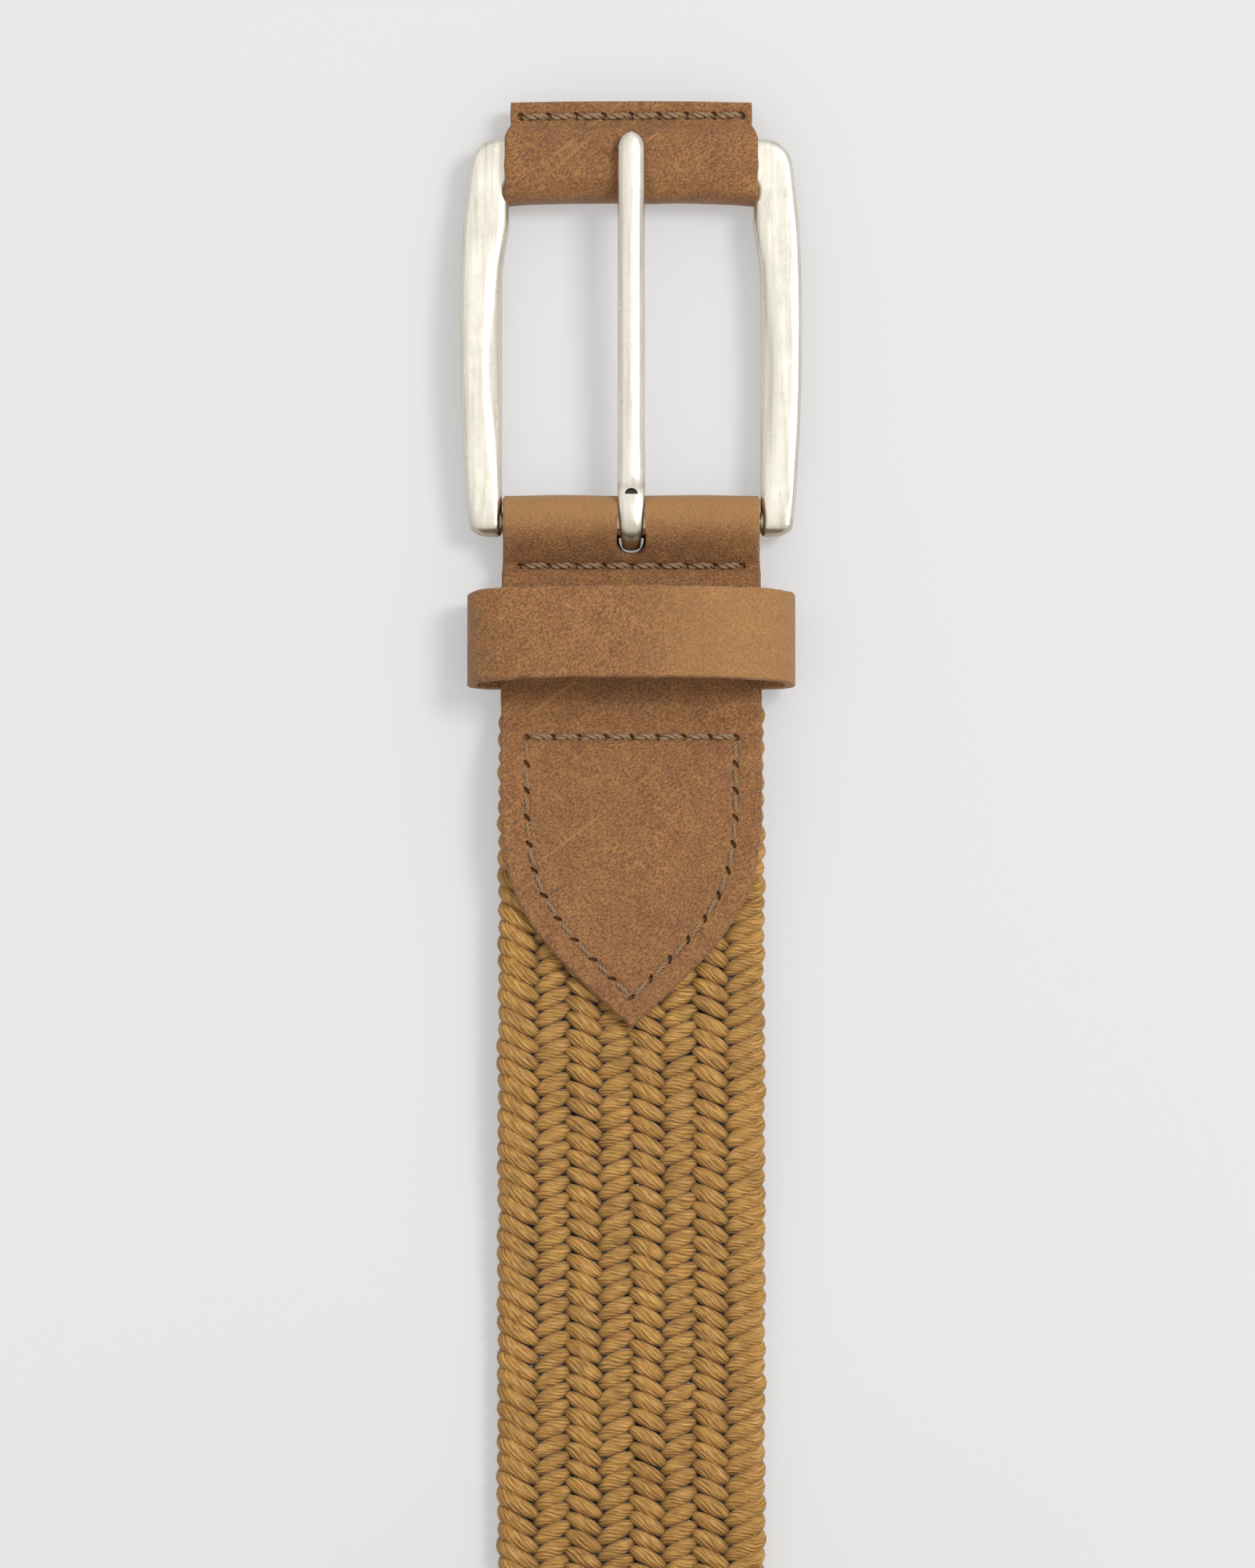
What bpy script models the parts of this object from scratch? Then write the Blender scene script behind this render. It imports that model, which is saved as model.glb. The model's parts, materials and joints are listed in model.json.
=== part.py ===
"""A gentleman's belt for trousers: a woven elastic strap with leather ends, a cast heel-bar buckle with a leather
sleeve on its front bar, and a leather keeper. The buckle end lies flat and the rest of the strap is rolled up.

Metres, +Z up. The floor is z = 0, the buckle points to +Y, and the origin is under the middle of the whole belt.
Shapes are worked out with y = 0 on the buckle's hinge and z = 0 on the floor, then placed by their objects."""

import math

import bmesh
import bpy
from mathutils import Matrix, Vector

# Driving dimensions
STRAP_WIDTH = 0.035
STRAP_CORE = 0.0021  # half the braid's thickness
BRAID_START = 0.0243  # where the braid begins inside the leather, from the hinge
LEATHER = 0.0014
LAYER_GAP = 0.00015  # air between layers that lie on each other
BELT_LENGTH = 1.03  # from the hinge to the end of the tip

BAR_RADIUS = 0.002  # the buckle's heel bar, on the hinge axis
BAR_GAP = 0.0003
FOLD_RADIUS = BAR_RADIUS + BAR_GAP + LEATHER / 2  # middle of the leather that goes round the bar
HINGE_Z = FOLD_RADIUS + LEATHER / 2

CHAPE_HALF_WIDTH = 0.0172
FOLD_HALF_WIDTH = 0.01695
SHIELD_SHOULDER = 0.0380  # where the straight sides end
SHIELD_TIP = 0.0676
SLOT_HALF_WIDTH = 0.002
SLOT_END = -0.00438
PINCH_Y = -0.0057  # the stitch row that closes the leather behind the bar
TUNNEL_Z = 0.0039  # middle of the upper leather over the keeper's lower leg

KEEPER_WIDTH = 0.0122
KEEPER_Y = -0.0159
KEEPER_HALF_SPAN = 0.02095  # to the middle of its leather
KEEPER_WIDEST_Z = 0.0053
KEEPER_DROP = 0.003
KEEPER_RISE = 0.0074

FRAME_THICKNESS = 0.004
FRAME_ARCH = 0.0012
ARM_END_Y = -0.0023
FRONT_OUTER_Y = 0.0516
FRONT_INNER_Y = 0.0447
FRONT_Z = 0.0036
SLEEVE_HALF_WIDTH = 0.0166
FLAP_END_Y = 0.0566
FLAP_STITCH_Y = 0.0546

THREAD_RADIUS = 0.00025
THREAD_SIDE = 0.0003  # how far each pass of the thread lies from the middle of its hole
THREAD_DEPTH = 0.0003
HOLE_RADIUS = 0.00078
GROOVE_RADIUS = 0.00092
STITCH_INSET = 0.0036
ROW_PITCH = 0.0036
ROW_HOLES = 9
OUTLINE_PITCH = 0.0072

SAG_START, SAG_END = 0.070, 0.110  # the strap comes down to the floor past the leather
ROLL_START = 0.180
ROLL_EASE = 0.036  # length over which the flat strap takes up the roll's curve
ROLL_RADIUS = 0.044
ROLL_PITCH = 0.0064
PATH_STEP = 0.0005

TIP_LENGTH = 0.068
TIP_TAPER = 0.014
TIP_BRAID_SHORT = 0.005  # the braid stops this far before the end of the tip

PARTS = "belt"
CUTTERS = "cutters"


# Helpers


def collection(name):
    made = bpy.data.collections.new(name)
    bpy.context.scene.collection.children.link(made)
    return made


def material(name, colour, roughness, metallic=0.0):
    made = bpy.data.materials.new(name)
    made.use_nodes = True
    shader = made.node_tree.nodes["Principled BSDF"]
    shader.inputs["Base Color"].default_value = (*colour, 1.0)
    shader.inputs["Roughness"].default_value = roughness
    shader.inputs["Metallic"].default_value = metallic
    return made


def smoothstep(low, high, value):
    t = min(max((value - low) / (high - low), 0.0), 1.0)
    return t * t * (3 - 2 * t)


def new_object(name, bm, group=PARTS):
    bmesh.ops.recalc_face_normals(bm, faces=bm.faces)
    mesh = bpy.data.meshes.new(name)
    bm.to_mesh(mesh)
    bm.free()
    made = bpy.data.objects.new(name, mesh)
    bpy.data.collections[group].objects.link(made)
    if group == CUTTERS:
        made.hide_render = True
        made.display_type = "WIRE"
    return made


def applied(obj):
    """Replaces the object's mesh by what its modifiers or its curve make of it."""
    bpy.context.view_layer.update()
    graph = bpy.context.evaluated_depsgraph_get()
    mesh = bpy.data.meshes.new_from_object(obj.evaluated_get(graph))
    name, group = obj.name, obj.users_collection[0].name
    bpy.data.objects.remove(obj)
    bm = bmesh.new()
    bm.from_mesh(mesh)
    bpy.data.meshes.remove(mesh)
    bmesh.ops.remove_doubles(bm, verts=bm.verts, dist=1e-6)
    return new_object(name, bm, group)


def place(obj, origin, look, parent=None):
    """Moves the object's origin to a point of the belt and sets the object there, with its material."""
    obj.data.transform(Matrix.Translation(-Vector(origin)))
    obj.location = Vector(origin) + Vector((0, HINGE_Y, 0))
    obj.data.materials.clear()
    obj.data.materials.append(look)
    obj.data.shade_smooth()
    obj.data.set_sharp_from_angle(angle=math.radians(35))
    if parent:
        obj.parent = parent
        obj.matrix_parent_inverse = Matrix.Translation(-parent.location)
    return obj


def solidify(obj, thickness):
    modifier = obj.modifiers.new("Wall", "SOLIDIFY")
    modifier.thickness = thickness
    modifier.offset = 0
    modifier.use_even_offset = True


def boolean(obj, operation, other):
    modifier = obj.modifiers.new(f"{operation.title()} {other.name}", "BOOLEAN")
    modifier.operation = operation
    modifier.solver = "EXACT"
    modifier.object = other


def ribbon(name, profile, half_width, closed=False, group=PARTS):
    """A strip of leather seen on edge: the profile's (y, z) points drawn out along X."""
    bm = bmesh.new()
    points = [bm.verts.new((-half_width, y, z)) for y, z in profile]
    edges = [bm.edges.new(pair) for pair in zip(points, points[1:])]
    if closed:
        edges.append(bm.edges.new((points[-1], points[0])))
    drawn = bmesh.ops.extrude_edge_only(bm, edges=edges)["geom"]
    moved = [v for v in drawn if isinstance(v, bmesh.types.BMVert)]
    bmesh.ops.translate(bm, verts=moved, vec=(2 * half_width, 0, 0))
    return new_object(name, bm, group)


def slab(name, outline, low, high, stations=(), group=PARTS):
    """A flat outline of (x, y) points given a thickness, cut across at each station so that it can be bent."""
    bm = bmesh.new()
    bm.faces.new([bm.verts.new((x, y, low)) for x, y in outline])
    for station in stations:
        geometry = bm.verts[:] + bm.edges[:] + bm.faces[:]
        bmesh.ops.bisect_plane(bm, geom=geometry, plane_co=(0, station, 0), plane_no=(0, 1, 0), dist=1e-6)
    drawn = bmesh.ops.extrude_face_region(bm, geom=bm.faces[:])["geom"]
    moved = [v for v in drawn if isinstance(v, bmesh.types.BMVert)]
    bmesh.ops.translate(bm, verts=moved, vec=(0, 0, high - low))
    return new_object(name, bm, group)


def loft(name, sections, closed_ends=True):
    """A solid through rings of points, each ring with the same count."""
    bm = bmesh.new()
    rings = [[bm.verts.new(point) for point in section] for section in sections]
    count = len(rings[0])
    for ring, following in zip(rings, rings[1:]):
        for i in range(count):
            j = (i + 1) % count
            bm.faces.new((ring[i], ring[j], following[j], following[i]))
    if closed_ends:
        bm.faces.new(rings[0])
        bm.faces.new(rings[-1])
    return new_object(name, bm)


def tube(name, points, radius, closed, resolution, group=PARTS):
    """A round or square thread along a line of points, as a mesh."""
    curve = bpy.data.curves.new(name, "CURVE")
    curve.dimensions = "3D"
    curve.bevel_depth = radius
    curve.bevel_resolution = resolution
    curve.use_fill_caps = not closed
    spline = curve.splines.new("POLY")
    spline.points.add(len(points) - 1)
    for target, point in zip(spline.points, points):
        target.co = (*point, 1.0)
    spline.use_cyclic_u = closed
    obj = bpy.data.objects.new(name, curve)
    bpy.data.collections[group].objects.link(obj)
    return applied(obj)


# The strap's run


def core_half(s):
    """Half the braid's thickness: it is pressed thin at both ends, inside the leather."""
    start = smoothstep(BRAID_START, BRAID_START + 0.010, s)
    end = smoothstep(BELT_LENGTH, BELT_LENGTH - TIP_TAPER, s)
    return STRAP_CORE * (0.4 + 0.6 * start) * (0.2 + 0.8 * end)


def laid_height(s):
    """Height of the strap's middle where it lies on its leather, and then on the floor."""
    on_leather = LEATHER + LAYER_GAP + core_half(s)
    return on_leather + (STRAP_CORE - on_leather) * smoothstep(SAG_START, SAG_END, s)


def rolled_path():
    """Points (y, z, heading) along the roll, one for each PATH_STEP. The heading is 0 towards -Y and turns up."""
    y, z, heading = -ROLL_START, STRAP_CORE, 0.0
    points = [(y, z, heading)]
    for i in range(int((BELT_LENGTH - ROLL_START) / PATH_STEP) + 2):
        radius = ROLL_RADIUS - ROLL_PITCH * heading / (2 * math.pi)
        bend = smoothstep(0, ROLL_EASE, i * PATH_STEP) / radius
        heading += bend * PATH_STEP
        y -= math.cos(heading) * PATH_STEP
        z += math.sin(heading) * PATH_STEP
        points.append((y, z, heading))
    return points


ROLL = rolled_path()


def along_strap(x, s, h):
    """The place of a point at x across the strap, s from the hinge and h above the strap's middle."""
    if s <= ROLL_START:
        return Vector((x, -s, laid_height(s) + h))
    step = (s - ROLL_START) / PATH_STEP
    index = min(int(step), len(ROLL) - 2)
    share = step - index
    y, z, heading = (a + (b - a) * share for a, b in zip(ROLL[index], ROLL[index + 1]))
    return Vector((x, y + h * math.sin(heading), z + h * math.cos(heading)))


def bend(obj, height_of):
    """Takes a solid made flat, with y as the distance along the strap, to its place on the strap."""
    for vertex in obj.data.vertices:
        x, s, h = vertex.co
        vertex.co = along_strap(x, s, height_of(s, h))
    bm = bmesh.new()
    bm.from_mesh(obj.data)
    bmesh.ops.recalc_face_normals(bm, faces=bm.faces)
    bm.to_mesh(obj.data)
    bm.free()


LOWEST_Y = min(y - STRAP_CORE for y, _, _ in ROLL)
HINGE_Y = -(FLAP_END_Y + LOWEST_Y) / 2  # centres the belt on the origin


# Outlines and stitch lines


def shield_side(inset=0.0, count=8):
    """(x, y) points from the shoulder to the point of the leather's shield, on the +X side."""
    shoulder = Vector((CHAPE_HALF_WIDTH - inset, -SHIELD_SHOULDER))
    tip = Vector((0, -SHIELD_TIP + inset * 1.12))
    drop = shoulder.y - tip.y
    hip = Vector((shoulder.x, shoulder.y - 0.48 * drop))
    flank = Vector((0.72 * shoulder.x, shoulder.y - 0.62 * drop))
    points = []
    for i in range(count + 1):
        t = i / count
        weights = ((1 - t) ** 3, 3 * t * (1 - t) ** 2, 3 * t * t * (1 - t), t**3)
        corners = (shoulder, hip, flank, tip)
        points.append(tuple(sum((w * c for w, c in zip(weights, corners)), Vector((0, 0)))))
    return points


def chape_outline():
    right = [(FOLD_HALF_WIDTH, 0.006), (FOLD_HALF_WIDTH, -0.004), (CHAPE_HALF_WIDTH, -0.008)] + shield_side()
    return right + [(-x, y) for x, y in reversed(right[:-1])]


def spaced(points, pitch):
    """Points at even spacing round a closed line, an even number of them, as close to the pitch as that allows."""
    ends = list(zip(points, points[1:] + points[:1]))
    total = sum(math.dist(a, b) for a, b in ends)
    count = 2 * round(total / pitch / 2)
    found, walked, wanted = [], 0.0, 0.0
    for a, b in ends:
        length = math.dist(a, b)
        while len(found) < count and wanted <= walked + length:
            share = (wanted - walked) / length
            found.append((a[0] + (b[0] - a[0]) * share, a[1] + (b[1] - a[1]) * share))
            wanted += total / count
        walked += length
    return found


def shield_stitch_line():
    right = [(0, -0.0291), (CHAPE_HALF_WIDTH - STITCH_INSET, -0.0291)] + shield_side(STITCH_INSET)
    return right + [(-x, y) for x, y in reversed(right[1:-1])]


def tip_outline(inset=0.0, count=6):
    """(x, s) points of the tip: pointed towards the buckle like the shield, and round at its end."""
    start, end = BELT_LENGTH - TIP_LENGTH, BELT_LENGTH
    half = STRAP_WIDTH / 2 - inset
    point = [(x * half / (CHAPE_HALF_WIDTH - inset), start + SHIELD_TIP + y) for x, y in shield_side(inset, count)]
    nose = 0.02
    centre = end - nose
    round_end = [
        (half * math.cos(a) ** 0.8, centre + (nose - inset) * math.sin(a))
        for a in (math.pi / 2 * i / count for i in range(count))
    ]
    right = list(reversed(point)) + round_end
    return right + [(0, end - inset)] + [(-x, s) for x, s in reversed(right[1:])]


def tip_stations():
    """Distances along the strap at which the tip's pieces and the braid between them are bent alike."""
    count = 24
    return [BELT_LENGTH - TIP_LENGTH * (1 - i / count) for i in range(count)]


def row_holes(y):
    return [((i - (ROW_HOLES - 1) / 2) * ROW_PITCH, y) for i in range(ROW_HOLES)]


def thread_route(holes, over, under, closed):
    """The line of one thread that is sewn along the holes and back, so that it shows on both faces throughout.
    over and under give the thread's place on each face above an (x, y) point."""
    count = len(holes)
    laps = []
    for lap, side in enumerate((1, -1)):
        steps = range(count) if closed else range(count - 1)
        for i in steps if closed or lap == 0 else reversed(steps):
            a, b = Vector(holes[i]), Vector(holes[(i + 1) % count])
            across = Vector((b.y - a.y, a.x - b.x)).normalized() * THREAD_SIDE * side
            face = over if (i + lap) % 2 == 0 else under
            run = [face(*(a + across)), face(*(b + across))]
            laps += run if closed or lap == 0 else run[::-1]
    return laps


def hole_cutter(name, holes, low, high):
    bm = bmesh.new()
    for x, y in holes:
        place_at = Matrix.Translation((x, y, (low + high) / 2))
        bmesh.ops.create_cone(
            bm, cap_ends=True, segments=6, radius1=HOLE_RADIUS, radius2=HOLE_RADIUS, depth=high - low, matrix=place_at
        )
    return new_object(name, bm, CUTTERS)


# The pieces


def make_chape(look):
    """One strip of leather, folded round the heel bar and cut to a shield at both ends."""
    over_braid = (0.070, 0.036, 0.032, 0.029, 0.026)
    top_shield = [(-s, laid_height(s) + core_half(s) + LAYER_GAP + LEATHER / 2) for s in over_braid]
    top_tunnel = [(-0.0235, TUNNEL_Z), (-0.0074, TUNNEL_Z), (PINCH_Y - 0.0006, 0.0029), (PINCH_Y + 0.0006, 0.0029)]
    first, last, steps = math.radians(135), math.radians(-90), 15
    angles = [first + (last - first) * i / steps for i in range(steps + 1)]
    fold = [(FOLD_RADIUS * math.cos(a), HINGE_Z + FOLD_RADIUS * math.sin(a)) for a in angles]
    chape = ribbon("chape_leather", top_shield + top_tunnel + fold + [(-0.070, LEATHER / 2)], 0.019)
    solidify(chape, LEATHER)

    plan = slab("chape_plan", chape_outline(), -0.002, 0.012, group=CUTTERS)
    centre = Vector((0, SLOT_END + SLOT_HALF_WIDTH))
    rounded = [centre + SLOT_HALF_WIDTH * Vector((math.cos(a), -math.sin(a))) for a in (math.pi * i / 8 for i in range(9))]
    opening = [(SLOT_HALF_WIDTH, 0.008), *map(tuple, rounded), (-SLOT_HALF_WIDTH, 0.008)]
    slot = slab("prong_slot", opening, -0.003, 0.013, group=CUTTERS)
    boolean(chape, "INTERSECT", plan)
    boolean(chape, "DIFFERENCE", slot)

    outline = spaced(shield_stitch_line(), OUTLINE_PITCH)
    row = row_holes(PINCH_Y)
    face_z = laid_height(0.045) + core_half(0.045) + LAYER_GAP + LEATHER
    grooves = {
        "row_groove_top": ([row[0], row[-1]], 0.0029 + LEATHER / 2, False),
        "row_groove_bottom": ([row[0], row[-1]], 0.0, False),
        "shield_groove_bottom": (outline, 0.0, True),
    }
    for name, (points, z, closed) in grooves.items():
        boolean(chape, "DIFFERENCE", tube(name, [(x, y, z) for x, y in points], GROOVE_RADIUS, closed, 1, CUTTERS))
    top = [(x, y, chape_face(y)) for x, y in outline]
    boolean(chape, "DIFFERENCE", tube("shield_groove_top", top, GROOVE_RADIUS, True, 1, CUTTERS))
    boolean(chape, "DIFFERENCE", hole_cutter("chape_holes", row + outline, -0.002, face_z + 0.002))
    place(applied(chape), (0, 0, 0), look)
    return row, outline


def chape_face(y):
    """Height of the chape's upper face over the braid."""
    return laid_height(-y) + core_half(-y) + LAYER_GAP + LEATHER


def make_chape_threads(row, outline, look):
    def row_over(x, y):
        return (x, y, 0.0029 + LEATHER / 2 - THREAD_DEPTH)

    def row_under(x, y):
        return (x, y, THREAD_DEPTH)

    def over(x, y):
        return (x, y, chape_face(y) - THREAD_DEPTH)

    route = thread_route(row, row_over, row_under, False)
    place(tube("fold_stitching", route, THREAD_RADIUS, True, 0), (0, 0, 0), look)
    route = thread_route(outline, over, row_under, True)
    place(tube("shield_stitching", route, THREAD_RADIUS, True, 0), (0, 0, 0), look)


def make_strap(shield_holes, tip_holes, look):
    """The braid as one flat band, pressed thin at its ends and holed for the stitches, then laid along its run."""
    start, end = BRAID_START, BELT_LENGTH - TIP_BRAID_SHORT
    half = STRAP_WIDTH / 2
    edge = 0.0012  # how much narrower the band's faces are than its middle
    flat_stations = [start + 0.0025 * i for i in range(5)] + [0.045, 0.060]
    sag_stations = [SAG_START + (SAG_END - SAG_START) * i / 8 for i in range(9)]
    tip_start = BELT_LENGTH - TIP_LENGTH
    roll_count = int((tip_start - ROLL_START) / 0.0062)
    roll_stations = [ROLL_START + (tip_start - ROLL_START) * i / roll_count for i in range(roll_count)]
    inner_stations = [s for s in tip_stations() if s < end - 0.0005] + [end]
    sections = []
    for s in flat_stations + sag_stations + [0.145] + roll_stations + inner_stations:
        width = half * (1.0 if s < BELT_LENGTH - 0.02 else 1 - 0.35 * smoothstep(BELT_LENGTH - 0.02, end, s))
        sections.append(
            [
                (width, s, 0),
                (width - edge, s, STRAP_CORE),
                (edge - width, s, STRAP_CORE),
                (-width, s, 0),
                (edge - width, s, -STRAP_CORE),
                (width - edge, s, -STRAP_CORE),
            ]
        )
    strap = loft("braided_strap", sections)
    along = [(x, -y) for x, y in shield_holes] + tip_holes
    boolean(strap, "DIFFERENCE", hole_cutter("strap_holes", along, -0.004, 0.004))
    strap = applied(strap)
    bend(strap, lambda s, h: h * core_half(s) / STRAP_CORE)
    return place(strap, (0, 0, 0), look)


def make_tip(look, thread_look):
    """Two leather faces and their stitching on the strap's free end, inside the roll."""
    holes = spaced(tip_outline(STITCH_INSET), OUTLINE_PITCH)
    for name, side in (("tip_front", 1), ("tip_back", -1)):
        face = slab(name, tip_outline(), 0, LEATHER, tip_stations()[1:])
        cut = hole_cutter(f"{name}_holes", holes, -0.001, LEATHER + 0.001)
        groove = tube(f"{name}_groove", [(x, s, LEATHER) for x, s in holes], GROOVE_RADIUS, True, 1, CUTTERS)
        boolean(face, "DIFFERENCE", groove)
        boolean(face, "DIFFERENCE", cut)
        face = applied(face)
        bend(face, lambda s, h, side=side: side * (core_half(s) + LAYER_GAP + h))
        place(face, (0, 0, 0), look)

    def tip_face(side):
        return lambda x, s: along_strap(x, s, side * (core_half(s) + LAYER_GAP + LEATHER - THREAD_DEPTH))

    route = thread_route(holes, tip_face(1), tip_face(-1), True)
    place(tube("tip_stitching", route, THREAD_RADIUS, True, 0), (0, 0, 0), thread_look)
    return holes


def keeper_point(angle):
    """(x, z) of the middle of the keeper's leather: nearly flat below, high and rounded above."""
    across, up = math.cos(angle), math.sin(angle)
    height, power = (KEEPER_RISE, 2.6) if up > 0 else (KEEPER_DROP, 8)
    x = KEEPER_HALF_SPAN * math.copysign(abs(across) ** (2 / power), across)
    return x, KEEPER_WIDEST_Z + height * math.copysign(abs(up) ** (2 / power), up)


def make_keeper(look):
    count = 44
    loop = [keeper_point(2 * math.pi * (i + 0.5) / count) for i in range(count)]
    keeper = ribbon("keeper_loop", loop, KEEPER_WIDTH / 2, closed=True)
    keeper.data.transform(Matrix.Rotation(math.radians(-90), 4, "Z"))
    keeper.data.transform(Matrix.Translation((0, KEEPER_Y, 0)))
    solidify(keeper, LEATHER)
    return place(applied(keeper), (0, KEEPER_Y, KEEPER_WIDEST_Z), look)


def frame_middle_z(y):
    share = min(max(y / FRONT_INNER_Y, 0.0), 1.0)
    return HINGE_Z + (FRONT_Z - HINGE_Z) * share + FRAME_ARCH * 4 * share * (1 - share)


def frame_edges():
    """Pairs of outer and inner (x, y) points round the right half of the buckle, from the arm's end to the middle."""
    pairs = [((0.0203, ARM_END_Y), (0.0178, ARM_END_Y)), ((0.0211, -0.0012), (0.01725, -0.0012))]
    for y in (0.003, 0.011, 0.019, 0.027, 0.034, 0.040):
        belly = 1 - ((y - 0.026) / 0.026) ** 2
        pairs.append(((0.0212 + 0.00105 * belly, y), (0.01728 + 0.00018 * belly, y)))
    corner, radius = Vector((0.0179, 0.0479)), 0.0032
    for i in range(6):
        turn = math.radians(18 * i)
        outer = corner + radius * Vector((math.cos(turn), math.sin(turn) + 0.12 * math.sin(turn) ** 3))
        inner = (0.0171 - 0.0002 * i / 5, 0.0442 + 0.0005 * i / 5)
        pairs.append((tuple(outer), inner))
    return pairs + [((x, FRONT_OUTER_Y), (x, FRONT_INNER_Y)) for x in (0.0160, 0.0080)]


def make_buckle_frame(look):
    """The cast frame: two arms and the front bar in one sweep, and the heel bar joined across the arms."""
    shape = ((0.0, 0.42), (0.10, 0.84), (0.27, 1.0), (0.62, 1.0), (0.88, 0.76), (1.0, 0.38), (0.90, 0.0), (0.10, 0.0))
    right = frame_edges()
    whole = right + [((-o[0], o[1]), (-i[0], i[1])) for o, i in reversed(right)]
    sections = []
    for outer, inner in whole:
        ring = []
        for across, up in shape:
            x, y = (o + (i - o) * across for o, i in zip(outer, inner))
            ring.append((x, y, frame_middle_z(y) + FRAME_THICKNESS * (up - 0.5)))
        sections.append(ring)
    frame = loft("buckle_frame", sections)
    bpy.context.view_layer.update()

    bm = bmesh.new()
    lie = Matrix.Translation((0, 0, HINGE_Z)) @ Matrix.Rotation(math.radians(90), 4, "Y")
    bmesh.ops.create_cone(
        bm, cap_ends=True, segments=16, radius1=BAR_RADIUS - 2e-5, radius2=BAR_RADIUS - 2e-5, depth=0.037, matrix=lie
    )
    heel = new_object("heel_bar", bm, CUTTERS)
    boolean(frame, "UNION", heel)
    return place(applied(frame), (0, 0, HINGE_Z), look)


def prong_sections():
    """Rings along the prong: its strip round the bar, from under the shank, then the shank to the tip."""
    strip = 0.00135
    middle = BAR_RADIUS + BAR_GAP + strip / 2
    stations = []  # y, z, width, thickness
    for i in range(15):
        angle = math.radians(-55 - 215 * i / 14)
        width = 0.0030 + 0.0005 * smoothstep(8, 14, i)
        stations.append((middle * math.cos(angle), HINGE_Z + middle * math.sin(angle), width, strip))
    top = HINGE_Z + middle
    stations += [(0.0022, top, 0.0036, strip), (0.0040, top + 0.0001, 0.0037, 0.0015)]
    stations += [(0.0046, 0.0072, 0.0037, 0.0025)]
    for y in (0.012, 0.020, 0.030, 0.040):
        stations.append((y, 0.0073 + 0.0013 * smoothstep(0.005, 0.042, y), 0.0036, 0.0026))
    stations += [(0.0465, 0.0086, 0.0037, 0.0024), (0.0495, 0.0084, 0.0033, 0.0020), (0.0512, 0.0083, 0.0022, 0.0016)]
    stations += [(0.0518, 0.0082, 0.0010, 0.0010)]
    return stations


def make_prong(look):
    stations = prong_sections()
    places = [Vector((y, z)) for y, z, _, _ in stations]
    sections = []
    for i, (_, _, width, thickness) in enumerate(stations):
        run = (places[min(i + 1, len(places) - 1)] - places[max(i - 1, 0)]).normalized()
        if 14 <= i <= 17:
            run = Vector((1, 0))  # the step from the strip to the shank stays square
        side = Vector((-run.y, run.x))
        ring = []
        for k in range(8):
            turn = math.radians(22.5 + 45 * k)
            out = side * (thickness / 2 * math.sin(turn) / math.sin(math.radians(67.5)))
            x = width / 2 * math.cos(turn) / math.cos(math.radians(22.5))
            ring.append((x, places[i].x + out.x, places[i].y + out.y))
        sections.append(ring)
    return place(loft("prong", sections), (0, 0, HINGE_Z), look)


def make_sleeve(look, thread_look):
    """Leather wrapped round the front bar, its two ends sewn together in front of it."""
    layer = 0.00085  # from the middle of the flap to the middle of each layer
    clear = 0.0002 + LEATHER / 2
    top, back, front = FRAME_THICKNESS / 2 + clear, FRONT_INNER_Y - clear, FRONT_OUTER_Y + clear
    upper = [(FLAP_END_Y, layer), (front + 0.0010, layer), (front + 0.0001, 0.0014), (front - 0.0006, 0.0024)]
    upper += [(front - 0.0016, top), (back + 0.0018, top), (back + 0.0006, top - 0.0006), (back, top - 0.0018)]
    profile = upper + [(y, -z) for y, z in reversed(upper)]
    sleeve = ribbon("front_bar_sleeve", [(y, FRONT_Z + z) for y, z in profile], SLEEVE_HALF_WIDTH)
    solidify(sleeve, LEATHER)
    holes = row_holes(FLAP_STITCH_Y)
    face = layer + LEATHER / 2
    for name, side in (("flap_groove_top", 1), ("flap_groove_bottom", -1)):
        ends = [(x, y, FRONT_Z + side * face) for x, y in (holes[0], holes[-1])]
        boolean(sleeve, "DIFFERENCE", tube(name, ends, GROOVE_RADIUS, False, 1, CUTTERS))
    boolean(sleeve, "DIFFERENCE", hole_cutter("flap_holes", holes, FRONT_Z - 0.003, FRONT_Z + 0.003))

    def over(x, y):
        return (x, y, FRONT_Z + face - THREAD_DEPTH)

    def under(x, y):
        return (x, y, FRONT_Z - face + THREAD_DEPTH)

    sleeve = place(applied(sleeve), (0, 0, HINGE_Z), look)
    thread = tube("sleeve_stitching", thread_route(holes, over, under, False), THREAD_RADIUS, True, 0)
    return sleeve, place(thread, (0, 0, HINGE_Z), thread_look)


def main():
    for obj in list(bpy.data.objects):
        bpy.data.objects.remove(obj)
    collection(PARTS)
    collection(CUTTERS)
    nickel = material("antique_nickel", (0.78, 0.74, 0.66), 0.3, 1.0)
    leather = material("tan_leather", (0.30, 0.15, 0.07), 0.75)
    cord = material("woven_cord", (0.36, 0.18, 0.05), 0.85)
    thread = material("waxed_thread", (0.22, 0.16, 0.11), 0.7)

    frame = make_buckle_frame(nickel)
    prong = make_prong(nickel)
    for piece in (prong, *make_sleeve(leather, thread)):
        piece.parent = frame
        piece.matrix_parent_inverse = Matrix.Translation(-frame.location)
    row, outline = make_chape(leather)
    make_chape_threads(row, outline, thread)
    make_keeper(leather)
    tip_holes = make_tip(leather, thread)
    make_strap(outline, tip_holes, cord)


main()
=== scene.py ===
"""The looks of a woven dress belt: plaited cords, nubuck leather, waxed thread and a cast nickel buckle.

Laid out as a Blender add-on. Lengths are metres. Shapes are worked out with y = 0 on the buckle's hinge and z = 0 on
the floor, and a piece's mesh is moved to the hinge's place in the frame when it is finished."""

import json
import math

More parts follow.
